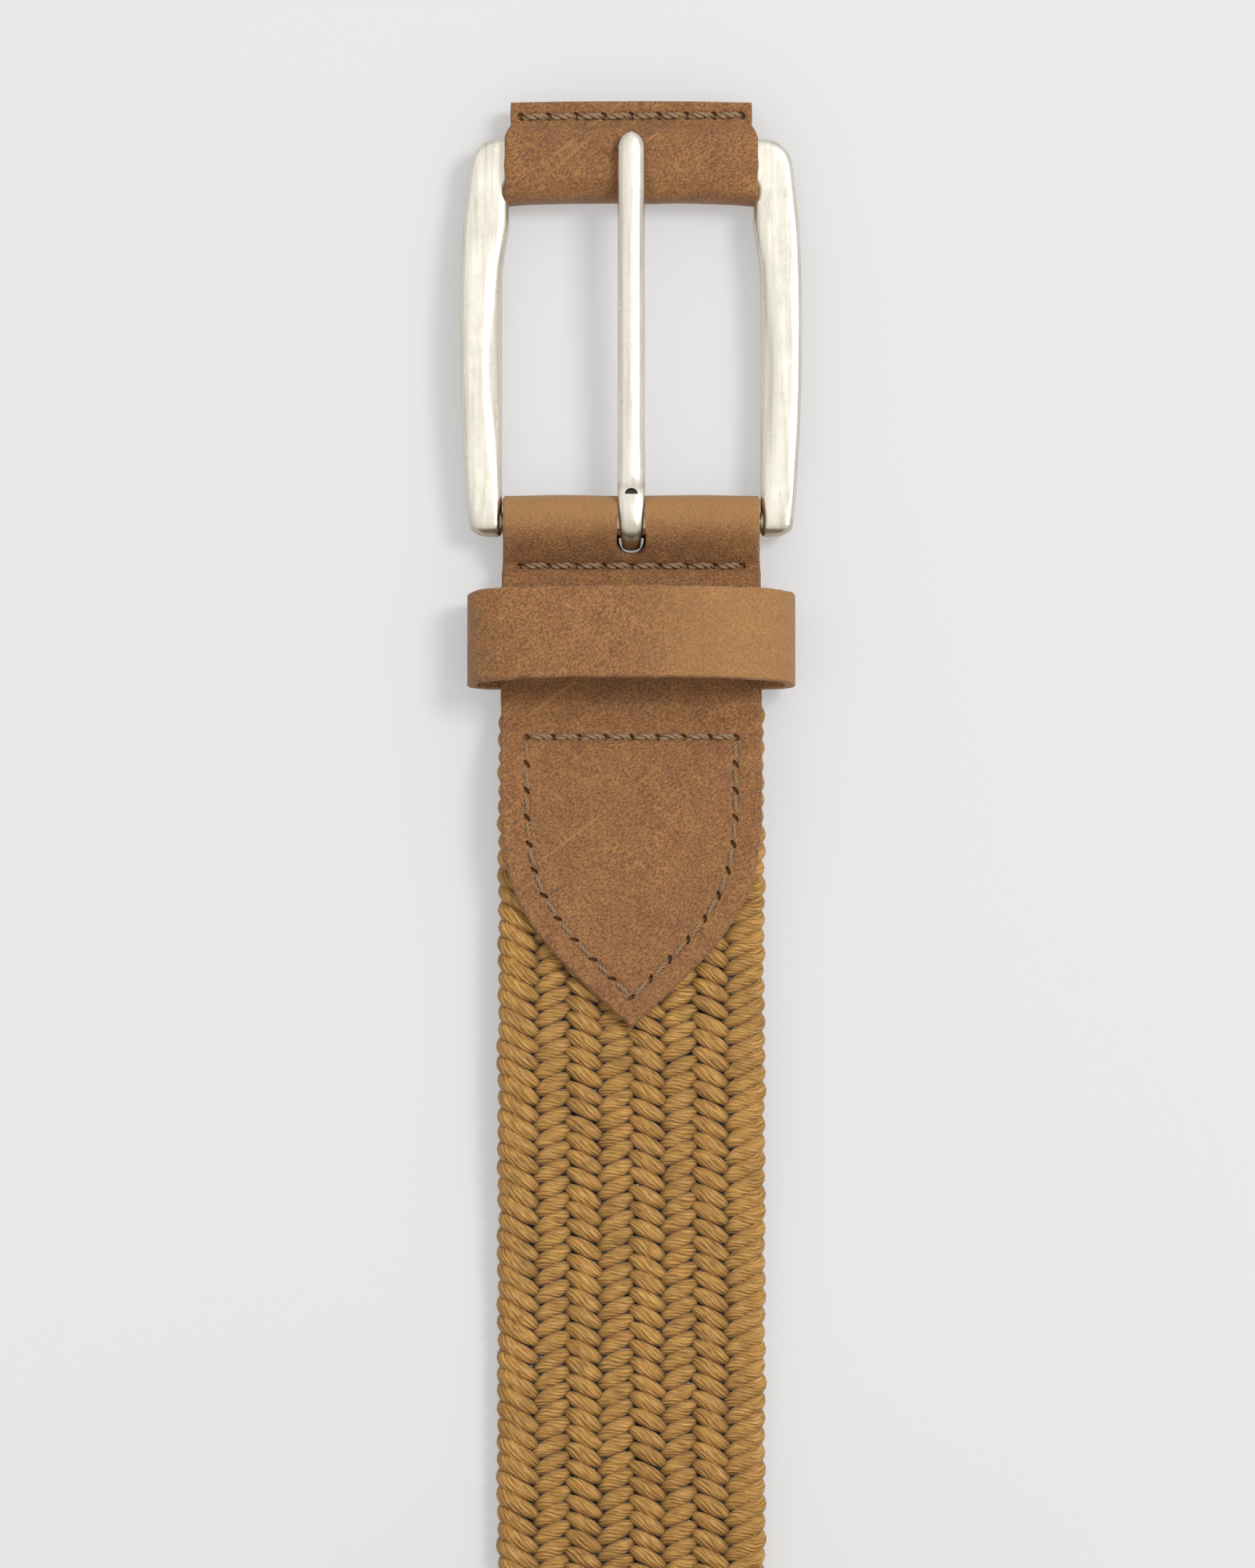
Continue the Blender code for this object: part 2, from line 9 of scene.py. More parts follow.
import bmesh
import bpy
import numpy as np
from mathutils import Matrix, Vector


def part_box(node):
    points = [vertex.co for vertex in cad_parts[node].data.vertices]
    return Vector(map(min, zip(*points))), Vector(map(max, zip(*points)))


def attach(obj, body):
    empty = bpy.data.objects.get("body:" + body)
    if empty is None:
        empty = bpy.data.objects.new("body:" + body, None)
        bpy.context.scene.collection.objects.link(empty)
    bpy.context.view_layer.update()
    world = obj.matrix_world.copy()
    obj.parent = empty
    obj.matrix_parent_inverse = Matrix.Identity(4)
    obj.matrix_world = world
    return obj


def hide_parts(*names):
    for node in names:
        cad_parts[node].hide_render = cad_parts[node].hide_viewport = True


bl_info = {
    "name": "Woven Dress Belt",
    "version": (1, 0, 0),
    "blender": (4, 5, 0),
    "location": "View3D > Sidebar > Belt",
    "description": "Builds a woven belt with leather ends, a cast buckle and a keeper",
    "category": "Add Mesh",
}

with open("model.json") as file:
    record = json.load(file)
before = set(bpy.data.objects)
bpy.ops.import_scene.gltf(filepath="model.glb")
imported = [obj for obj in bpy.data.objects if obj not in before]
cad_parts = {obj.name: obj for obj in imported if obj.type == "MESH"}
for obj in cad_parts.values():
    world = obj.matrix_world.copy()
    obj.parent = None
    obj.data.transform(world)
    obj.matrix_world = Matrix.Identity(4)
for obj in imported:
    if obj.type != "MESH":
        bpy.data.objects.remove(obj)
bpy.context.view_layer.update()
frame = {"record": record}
JOINTS = {joint["name"]: joint for joint in frame["record"]["behaviour"]["joints"]}
HINGE = Vector(JOINTS["prong_hinge"]["pos_m"])
TO_FRAME = Matrix.Translation((0, HINGE.y, 0))
HINGE_Z = HINGE.z

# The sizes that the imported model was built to
BELT_LENGTH = 1.03
STRAP_WIDTH = 0.035
STRAP_CORE = 0.0021
BRAID_START = 0.0243
LEATHER = 0.0014
LAYER_GAP = 0.00015
BAR_RADIUS = 0.002
BAR_GAP = 0.0003
FOLD_RADIUS = BAR_RADIUS + BAR_GAP + LEATHER / 2
SAG_START, SAG_END = 0.070, 0.110
ROLL_START = 0.180
ROLL_EASE = 0.036
ROLL_RADIUS = 0.044
ROLL_PITCH = 0.0064
PATH_STEP = 0.0005
TIP_LENGTH = 0.068
TIP_TAPER = 0.014
TIP_BRAID_SHORT = 0.005
PINCH_Y = -0.0057
PINCH_Z = 0.0029
TUNNEL_Z = 0.0039
SLOT_HALF_WIDTH = 0.00195
SLOT_TOP_END = -0.0043
SLOT_BACK_END = -0.0037
CHAPE_HALF_WIDTH = 0.0172
FOLD_HALF_WIDTH = 0.01695
SHIELD_ROW_Y = -0.0291
SHIELD_SHOULDER = 0.0380
SHIELD_TIP = 0.0676
STITCH_INSET = 0.00345
KEEPER_Y = (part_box("keeper_loop")[0][1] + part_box("keeper_loop")[1][1]) / 2 - HINGE.y
KEEPER_WIDTH = 0.0122
KEEPER_HALF_SPAN = 0.02095
KEEPER_WIDEST_Z = 0.0053
KEEPER_DROP = 0.003
KEEPER_RISE = 0.0074
FRAME_THICKNESS = 0.004
FRAME_ARCH = 0.0012
FRONT_OUTER_Y = 0.0516
FRONT_INNER_Y = 0.0447
FRONT_Z = 0.0036
SLEEVE_HALF_WIDTH = 0.0168
FLAP_HALF_WIDTH = 0.0160
FLAP_END_Y = 0.0566
FLAP_STITCH_Y = 0.0545
FLAP_LAYER = 0.00085
ARM_INNER_X = 0.01708
MOON_FLOOR = 0.0067

# Sewing: the straight rows behind and before the buckle, the awl's holes and how the thread lies
ROW_HALF_LENGTH = 0.0146
ROW_STITCH = 0.0036
HOLE_BOTTOM, HOLE_TOP = -0.0002, 0.002
THREAD_SINK = 0.0002
THREAD_SLANT = 0.0001


# Sizes and colours a user may change


def length_property(name, description, default):
    return bpy.props.FloatProperty(name=name, description=description, default=default, unit="LENGTH")


class BeltSizes(bpy.types.PropertyGroup):
    weave_pitch: length_property("Weave pitch", "Distance between cords along the strap", 0.00227)
    weave_columns: bpy.props.IntProperty(
        name="Weave columns", description="Columns of cord across the strap", default=8, min=2
    )
    cord_half_width: length_property("Cord half width", "Half the width of a cord where it lies on top", 0.00119)
    stitch_length: length_property("Stitch length", "Distance from hole to hole", 0.00348)
    row_thread: length_property("Row thread", "Radius of one ply in the straight rows", 0.00024)
    edge_thread: length_property("Edge thread", "Radius of one ply round the shield", 0.00016)


def colour_property(name, description, code):
    return bpy.props.StringProperty(name=name, description=description, default=code)


class BeltColours(bpy.types.PropertyGroup):
    leather: colour_property("Leather", "Nubuck, its middle tone", "#8F6039")
    leather_dark: colour_property("Leather dark", "Nubuck where wax has gathered", "#7C5232")
    leather_light: colour_property("Leather light", "Nubuck where it is rubbed", "#B2854F")
    cord: colour_property("Cord", "Woven cord, its middle tone", "#AE7C35")
    cord_dark: colour_property("Cord dark", "Between the fibres of the cord", "#5A3C14")
    cord_light: colour_property("Cord light", "Raised fibres of the cord", "#C9A05E")
    thread: colour_property("Thread", "Waxed sewing thread", "#947759")
    metal: colour_property("Metal", "Nickel, polished", "#F3EEE0")
    metal_dark: colour_property("Metal dark", "Nickel, aged brown", "#93815F")
    floor: colour_property("Floor", "Studio floor", "#AAAAAA")


# Numbers


def smoothstep(low, high, value):
    t = np.clip((np.asarray(value, float) - low) / (high - low), 0.0, 1.0)
    return t * t * (3 - 2 * t)


def linear(code):
    """An sRGB hex colour as linear RGBA."""
    parts = [int(code[i : i + 2], 16) / 255 for i in (1, 3, 5)]
    return (*(c / 12.92 if c <= 0.04045 else ((c + 0.055) / 1.055) ** 2.4 for c in parts), 1.0)


def unit(vectors):
    return vectors / (np.linalg.norm(vectors, axis=-1)[..., None] + 1e-12)


def walked(line):
    """How far along a line of points each of them is."""
    return np.concatenate([[0], np.cumsum(np.linalg.norm(np.diff(line, axis=0), axis=1))])


def bell(reach):
    """Weights that smooth a row of numbers over so many places to each side."""
    weights = np.hanning(2 * reach + 3)[1:-1]
    return weights / weights.sum()


def smoothed_loop(columns, weights):
    """Columns of numbers that run round a loop, each smoothed."""
    return [np.convolve(np.tile(c, 3), weights, "same")[len(c) : 2 * len(c)] for c in columns]


# The strap's run


def core_half(s):
    """Half the braid's thickness: it is pressed thin at both ends, inside the leather."""
    start = smoothstep(BRAID_START, BRAID_START + 0.010, s)
    end = smoothstep(BELT_LENGTH, BELT_LENGTH - TIP_TAPER, s)
    return STRAP_CORE * (0.4 + 0.6 * start) * (0.2 + 0.8 * end)


def laid_height(s):
    """Height of the strap's middle where it lies on its leather, and then on the floor."""
    on_leather = LEATHER + LAYER_GAP + core_half(s)
    return on_leather + (STRAP_CORE - on_leather) * smoothstep(SAG_START, SAG_END, s)


def strap_run():
    """Columns s, y, z and heading of the whole strap. The heading is 0 towards -Y and turns up into the roll."""
    flat = np.arange(0, ROLL_START, PATH_STEP)
    rows = [np.stack([flat, -flat, laid_height(flat), np.zeros(len(flat))], axis=1)]
    y, z, heading = -ROLL_START, STRAP_CORE, 0.0
    roll = [(ROLL_START, y, z, heading)]
    for i in range(int((BELT_LENGTH - ROLL_START) / PATH_STEP) + 2):
        radius = ROLL_RADIUS - ROLL_PITCH * heading / (2 * math.pi)
        heading += float(smoothstep(0, ROLL_EASE, i * PATH_STEP)) / radius * PATH_STEP
        y -= math.cos(heading) * PATH_STEP
        z += math.sin(heading) * PATH_STEP
        roll.append((ROLL_START + (i + 1) * PATH_STEP, y, z, heading))
    return np.concatenate(rows + [np.array(roll)]).T


STRAP_RUN = strap_run()


def along_strap(points):
    """Takes (x, s, h) points, s along the strap and h above its middle, to their place."""
    x, s, h = np.asarray(points, float).T
    y, z, heading = (np.interp(s, STRAP_RUN[0], row) for row in STRAP_RUN[1:])
    return np.stack([x, y + h * np.sin(heading), z + h * np.cos(heading)], axis=-1)


# Meshes


def mesh_points(mesh):
    points = np.empty(len(mesh.vertices) * 3)
    mesh.vertices.foreach_get("co", points)
    return points.reshape(-1, 3)


def set_mesh_points(mesh, points):
    mesh.vertices.foreach_set("co", np.ascontiguousarray(points, np.float32).ravel())
    mesh.update()


def mesh_uv(mesh):
    uv = np.empty(len(mesh.loops) * 2)
    mesh.uv_layers[0].data.foreach_get("uv", uv)
    return uv.reshape(-1, 2)


def set_mesh_uv(mesh, uv):
    mesh.uv_layers[0].data.foreach_set("uv", uv.astype(np.float32).ravel())


def mesh_of(bm, name):
    """A new mesh that holds the bmesh, which is freed."""
    mesh = bpy.data.meshes.new(name)
    bm.to_mesh(mesh)
    bm.free()
    return mesh


def new_object(name, mesh):
    made = bpy.data.objects.new(name, mesh)
    bpy.context.scene.collection.objects.link(made)
    return made


def tube(name, rings, looped=False, uv_scale=(1.0, 1.0)):
    """A closed skin through rings of points, an array of (ring, point round the ring, xyz), from one bent grid.
    Its UV map runs along the rings and then round them, times uv_scale."""
    count, around = rings.shape[:2]
    along = count if looped else count - 1
    bm = bmesh.new()
    bm.loops.layers.uv.new("UVMap")
    bmesh.ops.create_grid(bm, x_segments=along, y_segments=around, size=1, calc_uvs=True)
    mesh = mesh_of(bm, name)
    flat = mesh_points(mesh)
    i = np.rint((flat[:, 0] + 1) / 2 * along).astype(int) % count
    j = np.rint((flat[:, 1] + 1) / 2 * around).astype(int) % around
    set_mesh_points(mesh, rings[i, j])
    set_mesh_uv(mesh, mesh_uv(mesh) * uv_scale)
    bm = bmesh.new()
    bm.from_mesh(mesh)
    bmesh.ops.remove_doubles(bm, verts=bm.verts, dist=2e-7)
    bmesh.ops.holes_fill(bm, edges=[e for e in bm.edges if e.is_boundary])
    bmesh.ops.recalc_face_normals(bm, faces=bm.faces)
    bm.to_mesh(mesh)
    bm.free()
    return new_object(name, mesh)


def prism(bm, outline, low, high):
    """Adds a flat outline of (x, y) points, drawn from low to high."""
    face = bm.faces.new([bm.verts.new((x, y, low)) for x, y in outline])
    drawn = bmesh.ops.extrude_face_region(bm, geom=[face])["geom"]
    moved = [v for v in drawn if isinstance(v, bmesh.types.BMVert)]
    bmesh.ops.translate(bm, verts=moved, vec=(0, 0, high - low))


def cut(obj, bm):
    """Cuts away what the bmesh holds, and applies the cut."""
    bmesh.ops.recalc_face_normals(bm, faces=bm.faces)
    mesh = mesh_of(bm, "cutter")
    cutter = new_object("cutter", mesh)
    modifier = obj.modifiers.new("Cut", "BOOLEAN")
    modifier.operation, modifier.solver, modifier.object = "DIFFERENCE", "MANIFOLD", cutter
    bpy.context.view_layer.update()
    result = bpy.data.meshes.new_from_object(obj.evaluated_get(bpy.context.evaluated_depsgraph_get()))
    obj.modifiers.clear()
    old, obj.data = obj.data, result
    bpy.data.meshes.remove(old)
    bpy.data.objects.remove(cutter)
    bpy.data.meshes.remove(mesh)


def join(pieces, name):
    """One object that holds the meshes of several."""
    bm = bmesh.new()
    for piece in pieces:
        bm.from_mesh(piece.data)
        bpy.data.objects.remove(piece)
    return new_object(name, mesh_of(bm, name))


def finished(obj, body, look, node, smooth=40):
    """Sets a piece in the frame: its place, shading and finish, the body it rides on and the node it stands for."""
    obj.data.transform(TO_FRAME)
    obj.data.shade_smooth()
    obj.data.set_sharp_from_angle(angle=math.radians(smooth))
    obj.data.materials.clear()
    obj.data.materials.append(look)
    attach(obj, body)
    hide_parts(node)
    return obj


def leather_section(half_width, half_thickness, radius, columns):
    """(across, up) points round a strip of leather: its two faces and two rounded edges."""
    radius = min(radius, half_width * 0.6, half_thickness)
    flat = np.linspace(-(half_width - radius), half_width - radius, columns)
    turn = np.linspace(90, -90, 9)[1:-1] * math.pi / 180
    edge_x = half_width - radius + radius * np.cos(turn)
    edge_z = half_thickness * np.sign(np.sin(turn)) * np.abs(np.sin(turn)) ** 0.8
    top = np.stack([flat, np.full(columns, half_thickness)], axis=1)
    right = np.stack([edge_x, edge_z], axis=1)
    return np.concatenate([top, right, -top, -right])


def resampled(points, step, soften=0.0):
    """A line of points at even spacing, as near to the step as whole ones allow, with its corners rounded off over
    the softening length."""
    points = np.asarray(points, float)
    way = walked(points)
    at = np.linspace(0, way[-1], int(round(way[-1] / step)) + 1)
    line = np.stack([np.interp(at, way, column) for column in points.T], axis=1)
    reach = int(soften / step / 2)
    if reach:
        before, after = 2 * line[0] - line[reach:0:-1], 2 * line[-1] - line[-2 : -reach - 2 : -1]
        padded = np.concatenate([before, line, after])
        line = np.stack([np.convolve(c, bell(reach), "valid") for c in padded.T], axis=1)
    return line


class Strip:
    """Leather that is bent in one direction only: a line of (y, z) points, and widths that depend on the way along."""

    def __init__(self, line, step=0.0004, soften=0.0012):
        self.line = resampled(line, step, soften)
        self.at = walked(self.line)
        run = unit(np.gradient(self.line, axis=0))
        self.normal = np.stack([-run[:, 1], run[:, 0]], axis=1)

    @property
    def length(self):
        return self.at[-1]

    def way(self, y, low, high):
        """The way along at which the line passes y, looked for between two shares of its length."""
        a, b = (int(share * (len(self.at) - 1)) for share in (low, high))
        ys, ats = self.line[a : b + 1, 0], self.at[a : b + 1]
        order = np.argsort(ys)
        return np.interp(y, ys[order], ats[order])

    def unrolled(self, points, low, high):
        """Takes (x, y) points on one face of the bent strip to flat (x, way along) ones."""
        return np.stack([points[:, 0], self.way(points[:, 1], low, high)], axis=1)

    def place(self, points):
        """Takes flat (x, way along, up) points to their place on the bent strip."""
        x, t, n = np.asarray(points, float).T
        y, z, ny, nz = (np.interp(t, self.at, c) for c in (*self.line.T, *self.normal.T))
        return np.stack([x, y + n * ny, z + n * nz], axis=-1)

    def out(self, t):
        """The direction away from the strip's upper face."""
        ny, nz = (np.interp(t, self.at, c) for c in self.normal.T)
        return np.stack([np.zeros_like(ny), ny, nz], axis=-1)

    def flat(self, name, half_width, columns=66, radius=0.0004, step=0.0005, end_radius=0.0004):
        """The strip before it is bent. half_width takes an array of ways along."""
        steps = int(self.length / step)
        ease = end_radius * (1 - np.cos(np.linspace(0, math.pi / 2, 6)))
        middle = np.linspace(end_radius, self.length - end_radius, steps)
        ways = np.concatenate([ease[:-1], middle, self.length - ease[-2::-1]])
        to_end = np.minimum(ways, self.length - ways)
        thin = np.sqrt(np.clip(1 - (1 - np.clip(to_end / end_radius, 0, 1)) ** 2, 0.04, 1))
        rings = []
        for way, share, width in zip(ways, thin, half_width(ways)):
            section = leather_section(width, LEATHER / 2 * share, radius, columns)
            rings.append(np.stack([section[:, 0], np.full(len(section), way), section[:, 1]], axis=1))
        return tube(name, np.array(rings))


def awl_holes(bm, holes, width, height, lean, sides=12):
    """Adds leaning ovals, drawn through the leather's outer face at each flat (x, way along) hole of a stitch line."""
    depth = HOLE_TOP - HOLE_BOTTOM
    size = Matrix.Diagonal((height / 2, width / 2, 1, 1))
    for (x, way), direction in zip(holes, np.arctan2(*np.gradient(holes, axis=0).T[::-1])):
        turn = Matrix.Rotation(direction + math.radians(lean), 4, "Z")
        spot = Matrix.Translation((x, way, HOLE_BOTTOM + depth / 2)) @ turn @ size
        bmesh.ops.create_cone(bm, cap_ends=True, segments=sides, radius1=1, radius2=1, depth=depth, matrix=spot)


def round_rings(line, radius, sides):
    """Circles of points round a line."""
    across, out = frames_along(line)
    turn = np.linspace(0, 2 * math.pi, sides, endpoint=False)
    radius = np.broadcast_to(radius, len(line))
    circle = across[:, None] * np.cos(turn)[None, :, None] + out[:, None] * np.sin(turn)[None, :, None]
    return line[:, None] + circle * radius[:, None, None]


def frames_along(line):
    """Unit directions across and out for each point of a line."""
    run = unit(np.gradient(line, axis=0))
    across = unit(np.cross(run, (0.31, 0.17, 0.93)))
    return across, np.cross(run, across)


def twisted(name, line, ply_radius, sides=7):
    """Two plies of thread twisted round each other along a line."""
    across, out = frames_along(line)
    pieces = []
    for ply in range(2):
        turn = 2 * math.pi * (walked(line) / (9 * ply_radius) + ply / 2)
        centre = line + 0.92 * ply_radius * (across * np.cos(turn)[:, None] + out * np.sin(turn)[:, None])
        pieces.append(tube(f"{name}_ply", round_rings(centre, ply_radius, sides)))
    return join(pieces, name)


def stitched_line(holes, outs, deep, crest, samples=18):
    """The run of a sewn thread over one face: down into each hole and up again, leaning a little across the line."""
    points = []
    share = np.linspace(0, 1, samples, endpoint=False)
    for a, b, out_a, out_b in zip(holes, holes[1:], outs, outs[1:]):
        along = a + (b - a) * share[:, None]
        out = out_a + (out_b - out_a) * share[:, None]
        side = unit(np.cross(b - a, out_a))
        rise = -deep + (deep + crest) * (1 - np.clip(np.abs(2 * share - 1) / 0.88, 0, 1) ** 3)
        points.append(along + out * rise[:, None] + side * (THREAD_SLANT * (1 - 2 * share))[:, None])
    points.append((holes[-1] - outs[-1] * deep)[None])
    return np.concatenate(points)


# Materials


def add(tree, kind, inputs=None, **settings):
    """Adds a node with its settings. An input is a number or colour, or the socket that feeds it."""
    node = tree.nodes.new(kind)
    for key, value in settings.items():
        setattr(node, key, value)
    for key, value in (inputs or {}).items():
        if isinstance(value, bpy.types.NodeSocket):
            tree.links.new(value, node.inputs[key])
        else:
            node.inputs[key].default_value = value
    return node


def new_material(name, settings):
    """A material, its node tree and its Principled shader, with the shader's sockets set by name."""
    made = bpy.data.materials.new(name)
    made.use_nodes = True
    shader = made.node_tree.nodes["Principled BSDF"]
    for key, value in settings.items():
        shader.inputs[key].default_value = value
    return made, made.node_tree, shader


def spread(tree, value, low, high):
    """A value taken from low..high to 0..1."""
    node = add(tree, "ShaderNodeMapRange", {"Value": value, "From Min": low, "From Max": high})
    return node.outputs["Result"]


def mix_colour(tree, share, first, second, blend="MIX"):
    """A colour mix. Its colour sockets are the Mix node's 6 and 7, and its result is output 2."""
    node = add(tree, "ShaderNodeMix", {0: share, 6: first, 7: second}, data_type="RGBA", blend_type=blend)
    return node.outputs[2]


def shaded(tree, colour, value, low, high, least, most, **settings):
    """The colour times least where the value is low, and times most where it is high."""
    shade = add(tree, "ShaderNodeMapRange", {0: value, 1: low, 2: high, 3: least, 4: most}, **settings)
    return mix_colour(tree, 1.0, colour, shade.outputs[0], "MULTIPLY")


def stained(tree, colour, stain, value, start, end, most, **settings):
    """The colour mixed with a stain: none of it where the value is at start, and the most where it is at end."""
    share = add(tree, "ShaderNodeMapRange", {0: value, 1: start, 2: end, 4: most}, **settings)
    return mix_colour(tree, share.outputs[0], colour, stain)


def math_value(tree, operation, *inputs):
    return add(tree, "ShaderNodeMath", dict(enumerate(inputs)), operation=operation).outputs[0]


def noise_value(tree, vector, size, detail=2.0, roughness=0.5, squash=None):
    """Noise whose blotches are about one size across, in metres, or squashed by three factors."""
    if squash:
        vector = add(tree, "ShaderNodeMapping", {"Vector": vector, "Scale": squash}).outputs[0]
    inputs = {"Vector": vector, "Scale": 1 / size, "Detail": detail, "Roughness": roughness}
    return add(tree, "ShaderNodeTexNoise", inputs).outputs["Fac"]


def dress(tree, shader, colour, rough, bumps):
    """Gives the shader its colour, a roughness that runs with a value (value, low, high, least, most), and bumps, the
    coarsest first, as (height, strength, distance)."""
    tree.links.new(colour, shader.inputs["Base Color"])
    if rough:
        made = add(tree, "ShaderNodeMapRange", dict(enumerate(rough)))
        tree.links.new(made.outputs[0], shader.inputs["Roughness"])
    under = {}
    for height, strength, distance in bumps:
        bump = add(tree, "ShaderNodeBump", {"Strength": strength, "Distance": distance, "Height": height, **under})
        under = {"Normal": bump.outputs[0]}
    tree.links.new(under["Normal"], shader.inputs["Normal"])


def leather_material(name, tone=1.0, rub_and_highlight=None):
    """Waxed nubuck: the grain side of cowhide sanded to a short nap, oiled, so it scuffs light and darkens in blotches.
    The last argument is the axis, start, end and share of a part painted lighter: a painted highlight on the side that
    faces the light, and on the chape's fold also wear."""
    colours = bpy.context.scene.belt_colours
    settings = {"Specular IOR Level": 0.30, "Sheen Weight": 0.12, "Sheen Roughness": 0.5}
    made, tree, shader = new_material(name, settings)
    place = add(tree, "ShaderNodeTexCoord").outputs["Object"]
    tilt = add(tree, "ShaderNodeMapping", {"Vector": place, "Rotation": (0, 0, 0.9)}).outputs[0]
    blotch = noise_value(tree, place, 0.010, 3, 0.55)
    patch = noise_value(tree, place, 0.0024, 2, 0.5)
    nap = noise_value(tree, tilt, 0.00022, 1, 0.5, squash=(1.0, 0.50, 1.0))
    pores = noise_value(tree, place, 0.00017, 1, 0.5)
    scuff = noise_value(tree, place, 0.0008, 1, 0.5, squash=(1.0, 0.05, 1.0))
    scratch = noise_value(tree, tilt, 0.0011, 1, 0.4, squash=(1.0, 0.05, 1.0))
    dark, middle, light = (linear(c) for c in (colours.leather_dark, colours.leather, colours.leather_light))
    colour = mix_colour(tree, spread(tree, blotch, 0.05, 0.60), dark, middle)
    colour = mix_colour(tree, spread(tree, patch, 0.35, 1.50), colour, light)
    colour = shaded(tree, colour, nap, 0.32, 0.68, 0.60, 1.36)
    colour = shaded(tree, colour, pores, 0.28, 0.44, 0.62, 1.02)
    colour = stained(tree, colour, light, scuff, 0.70, 0.80, 0.35)
    colour = stained(tree, colour, light, scratch, 0.72, 0.78, 0.5)
    # Painted highlight: a part is lightened along one axis where the light falls on it; on the chape's fold this also
    # stands for wear.
    if rub_and_highlight:
        axis, start, end, most = rub_and_highlight
        way = add(tree, "ShaderNodeSeparateXYZ", {0: place}).outputs[axis]
        colour = stained(tree, colour, light, way, start, end, most, interpolation_type="SMOOTHSTEP")
    colour = mix_colour(tree, 1.0, colour, (tone, tone, tone, 1.0), "MULTIPLY")
    bumps = (patch, 0.35, 0.00016), (nap, 0.9, 0.00012), (pores, 0.5, 0.00007)
    dress(tree, shader, colour, (patch, 0.3, 0.7, 0.64, 0.80), bumps)
    return made


def cord_material():
    """Twisted rayon cord: fine yarns laid round each other at a slant, soft, with a glint here and there."""
    colours = bpy.context.scene.belt_colours
    settings = {"Specular IOR Level": 0.4, "Sheen Weight": 0.15, "Sheen Roughness": 0.45}
    made, tree, shader = new_material("woven_rayon_cord", settings)
    uv = add(tree, "ShaderNodeUVMap", uv_map="UVMap").outputs[0]
    along, around = add(tree, "ShaderNodeSeparateXYZ", {0: uv}).outputs[:2]
    # The yarns go once round the cord in 12 mm, and the cord's radius is about 1 mm.
    lay = math_value(tree, "MULTIPLY_ADD", along, -1 / 0.012, around)
    turn = math_value(tree, "MULTIPLY", lay, 2 * math.pi)
    skin = [math_value(tree, "MULTIPLY", math_value(tree, kind, turn), 0.001) for kind in ("COSINE", "SINE")]
    place = add(tree, "ShaderNodeCombineXYZ", {0: skin[0], 1: skin[1], 2: along}).outputs[0]
    loose = noise_value(tree, place, 0.0016, 2, 0.5, squash=(1, 1, 0.25))
    fibre = noise_value(tree, place, 0.00013, 2, 0.6, squash=(1, 1, 0.10))
    yarns = math_value(tree, "MULTIPLY_ADD", turn, 12.0, math_value(tree, "MULTIPLY", loose, 9.0))
    ridge = math_value(tree, "SINE", yarns)
    patch = noise_value(tree, add(tree, "ShaderNodeTexCoord").outputs["Object"], 0.004, 2, 0.5)
    dark, middle, light = (linear(c) for c in (colours.cord_dark, colours.cord, colours.cord_light))
    colour = mix_colour(tree, spread(tree, ridge, -1.9, -0.2), dark, middle)
    colour = mix_colour(tree, spread(tree, fibre, 0.46, 0.74), colour, light)
    colour = shaded(tree, colour, fibre, 0.30, 0.52, 0.52, 1.0)
    colour = shaded(tree, colour, patch, 0.3, 0.7, 0.86, 1.12)
    # Painted shade: the colour darkens where a cord lies low between its neighbours, down to a fifth at the bottom of
    # the hollows.
    height = add(tree, "ShaderNodeAttribute", attribute_name="height").outputs["Fac"]
    colour = shaded(tree, colour, height, 0.30, 0.90, 0.20, 1.0, interpolation_type="SMOOTHSTEP")
    dress(tree, shader, colour, (fibre, 0.55, 0.75, 0.68, 0.34), ((ridge, 0.5, 0.00010), (fibre, 0.6, 0.00008)))
    return made


def thread_material():
    """Waxed polyester thread: two plies of fine filament under a thin wax, greyer than the leather."""
    colours = bpy.context.scene.belt_colours
    settings = {"Roughness": 0.55, "Specular IOR Level": 0.45}
    made, tree, shader = new_material("waxed_polyester_thread", settings)
    place = add(tree, "ShaderNodeTexCoord").outputs["Object"]
    fibre = noise_value(tree, place, 0.00012, 3, 0.6)
    colour = linear(colours.thread)
    dark = tuple(c * 0.45 for c in colour[:3]) + (1.0,)
    light = tuple(min(c * 1.9, 1) for c in colour[:3]) + (1.0,)
    shade = mix_colour(tree, spread(tree, fibre, 0.3, 0.55), dark, colour)
    shade = mix_colour(tree, spread(tree, fibre, 0.55, 0.75), shade, light)
    dress(tree, shader, shade, None, [(fibre, 0.6, 0.00006)])
    return made


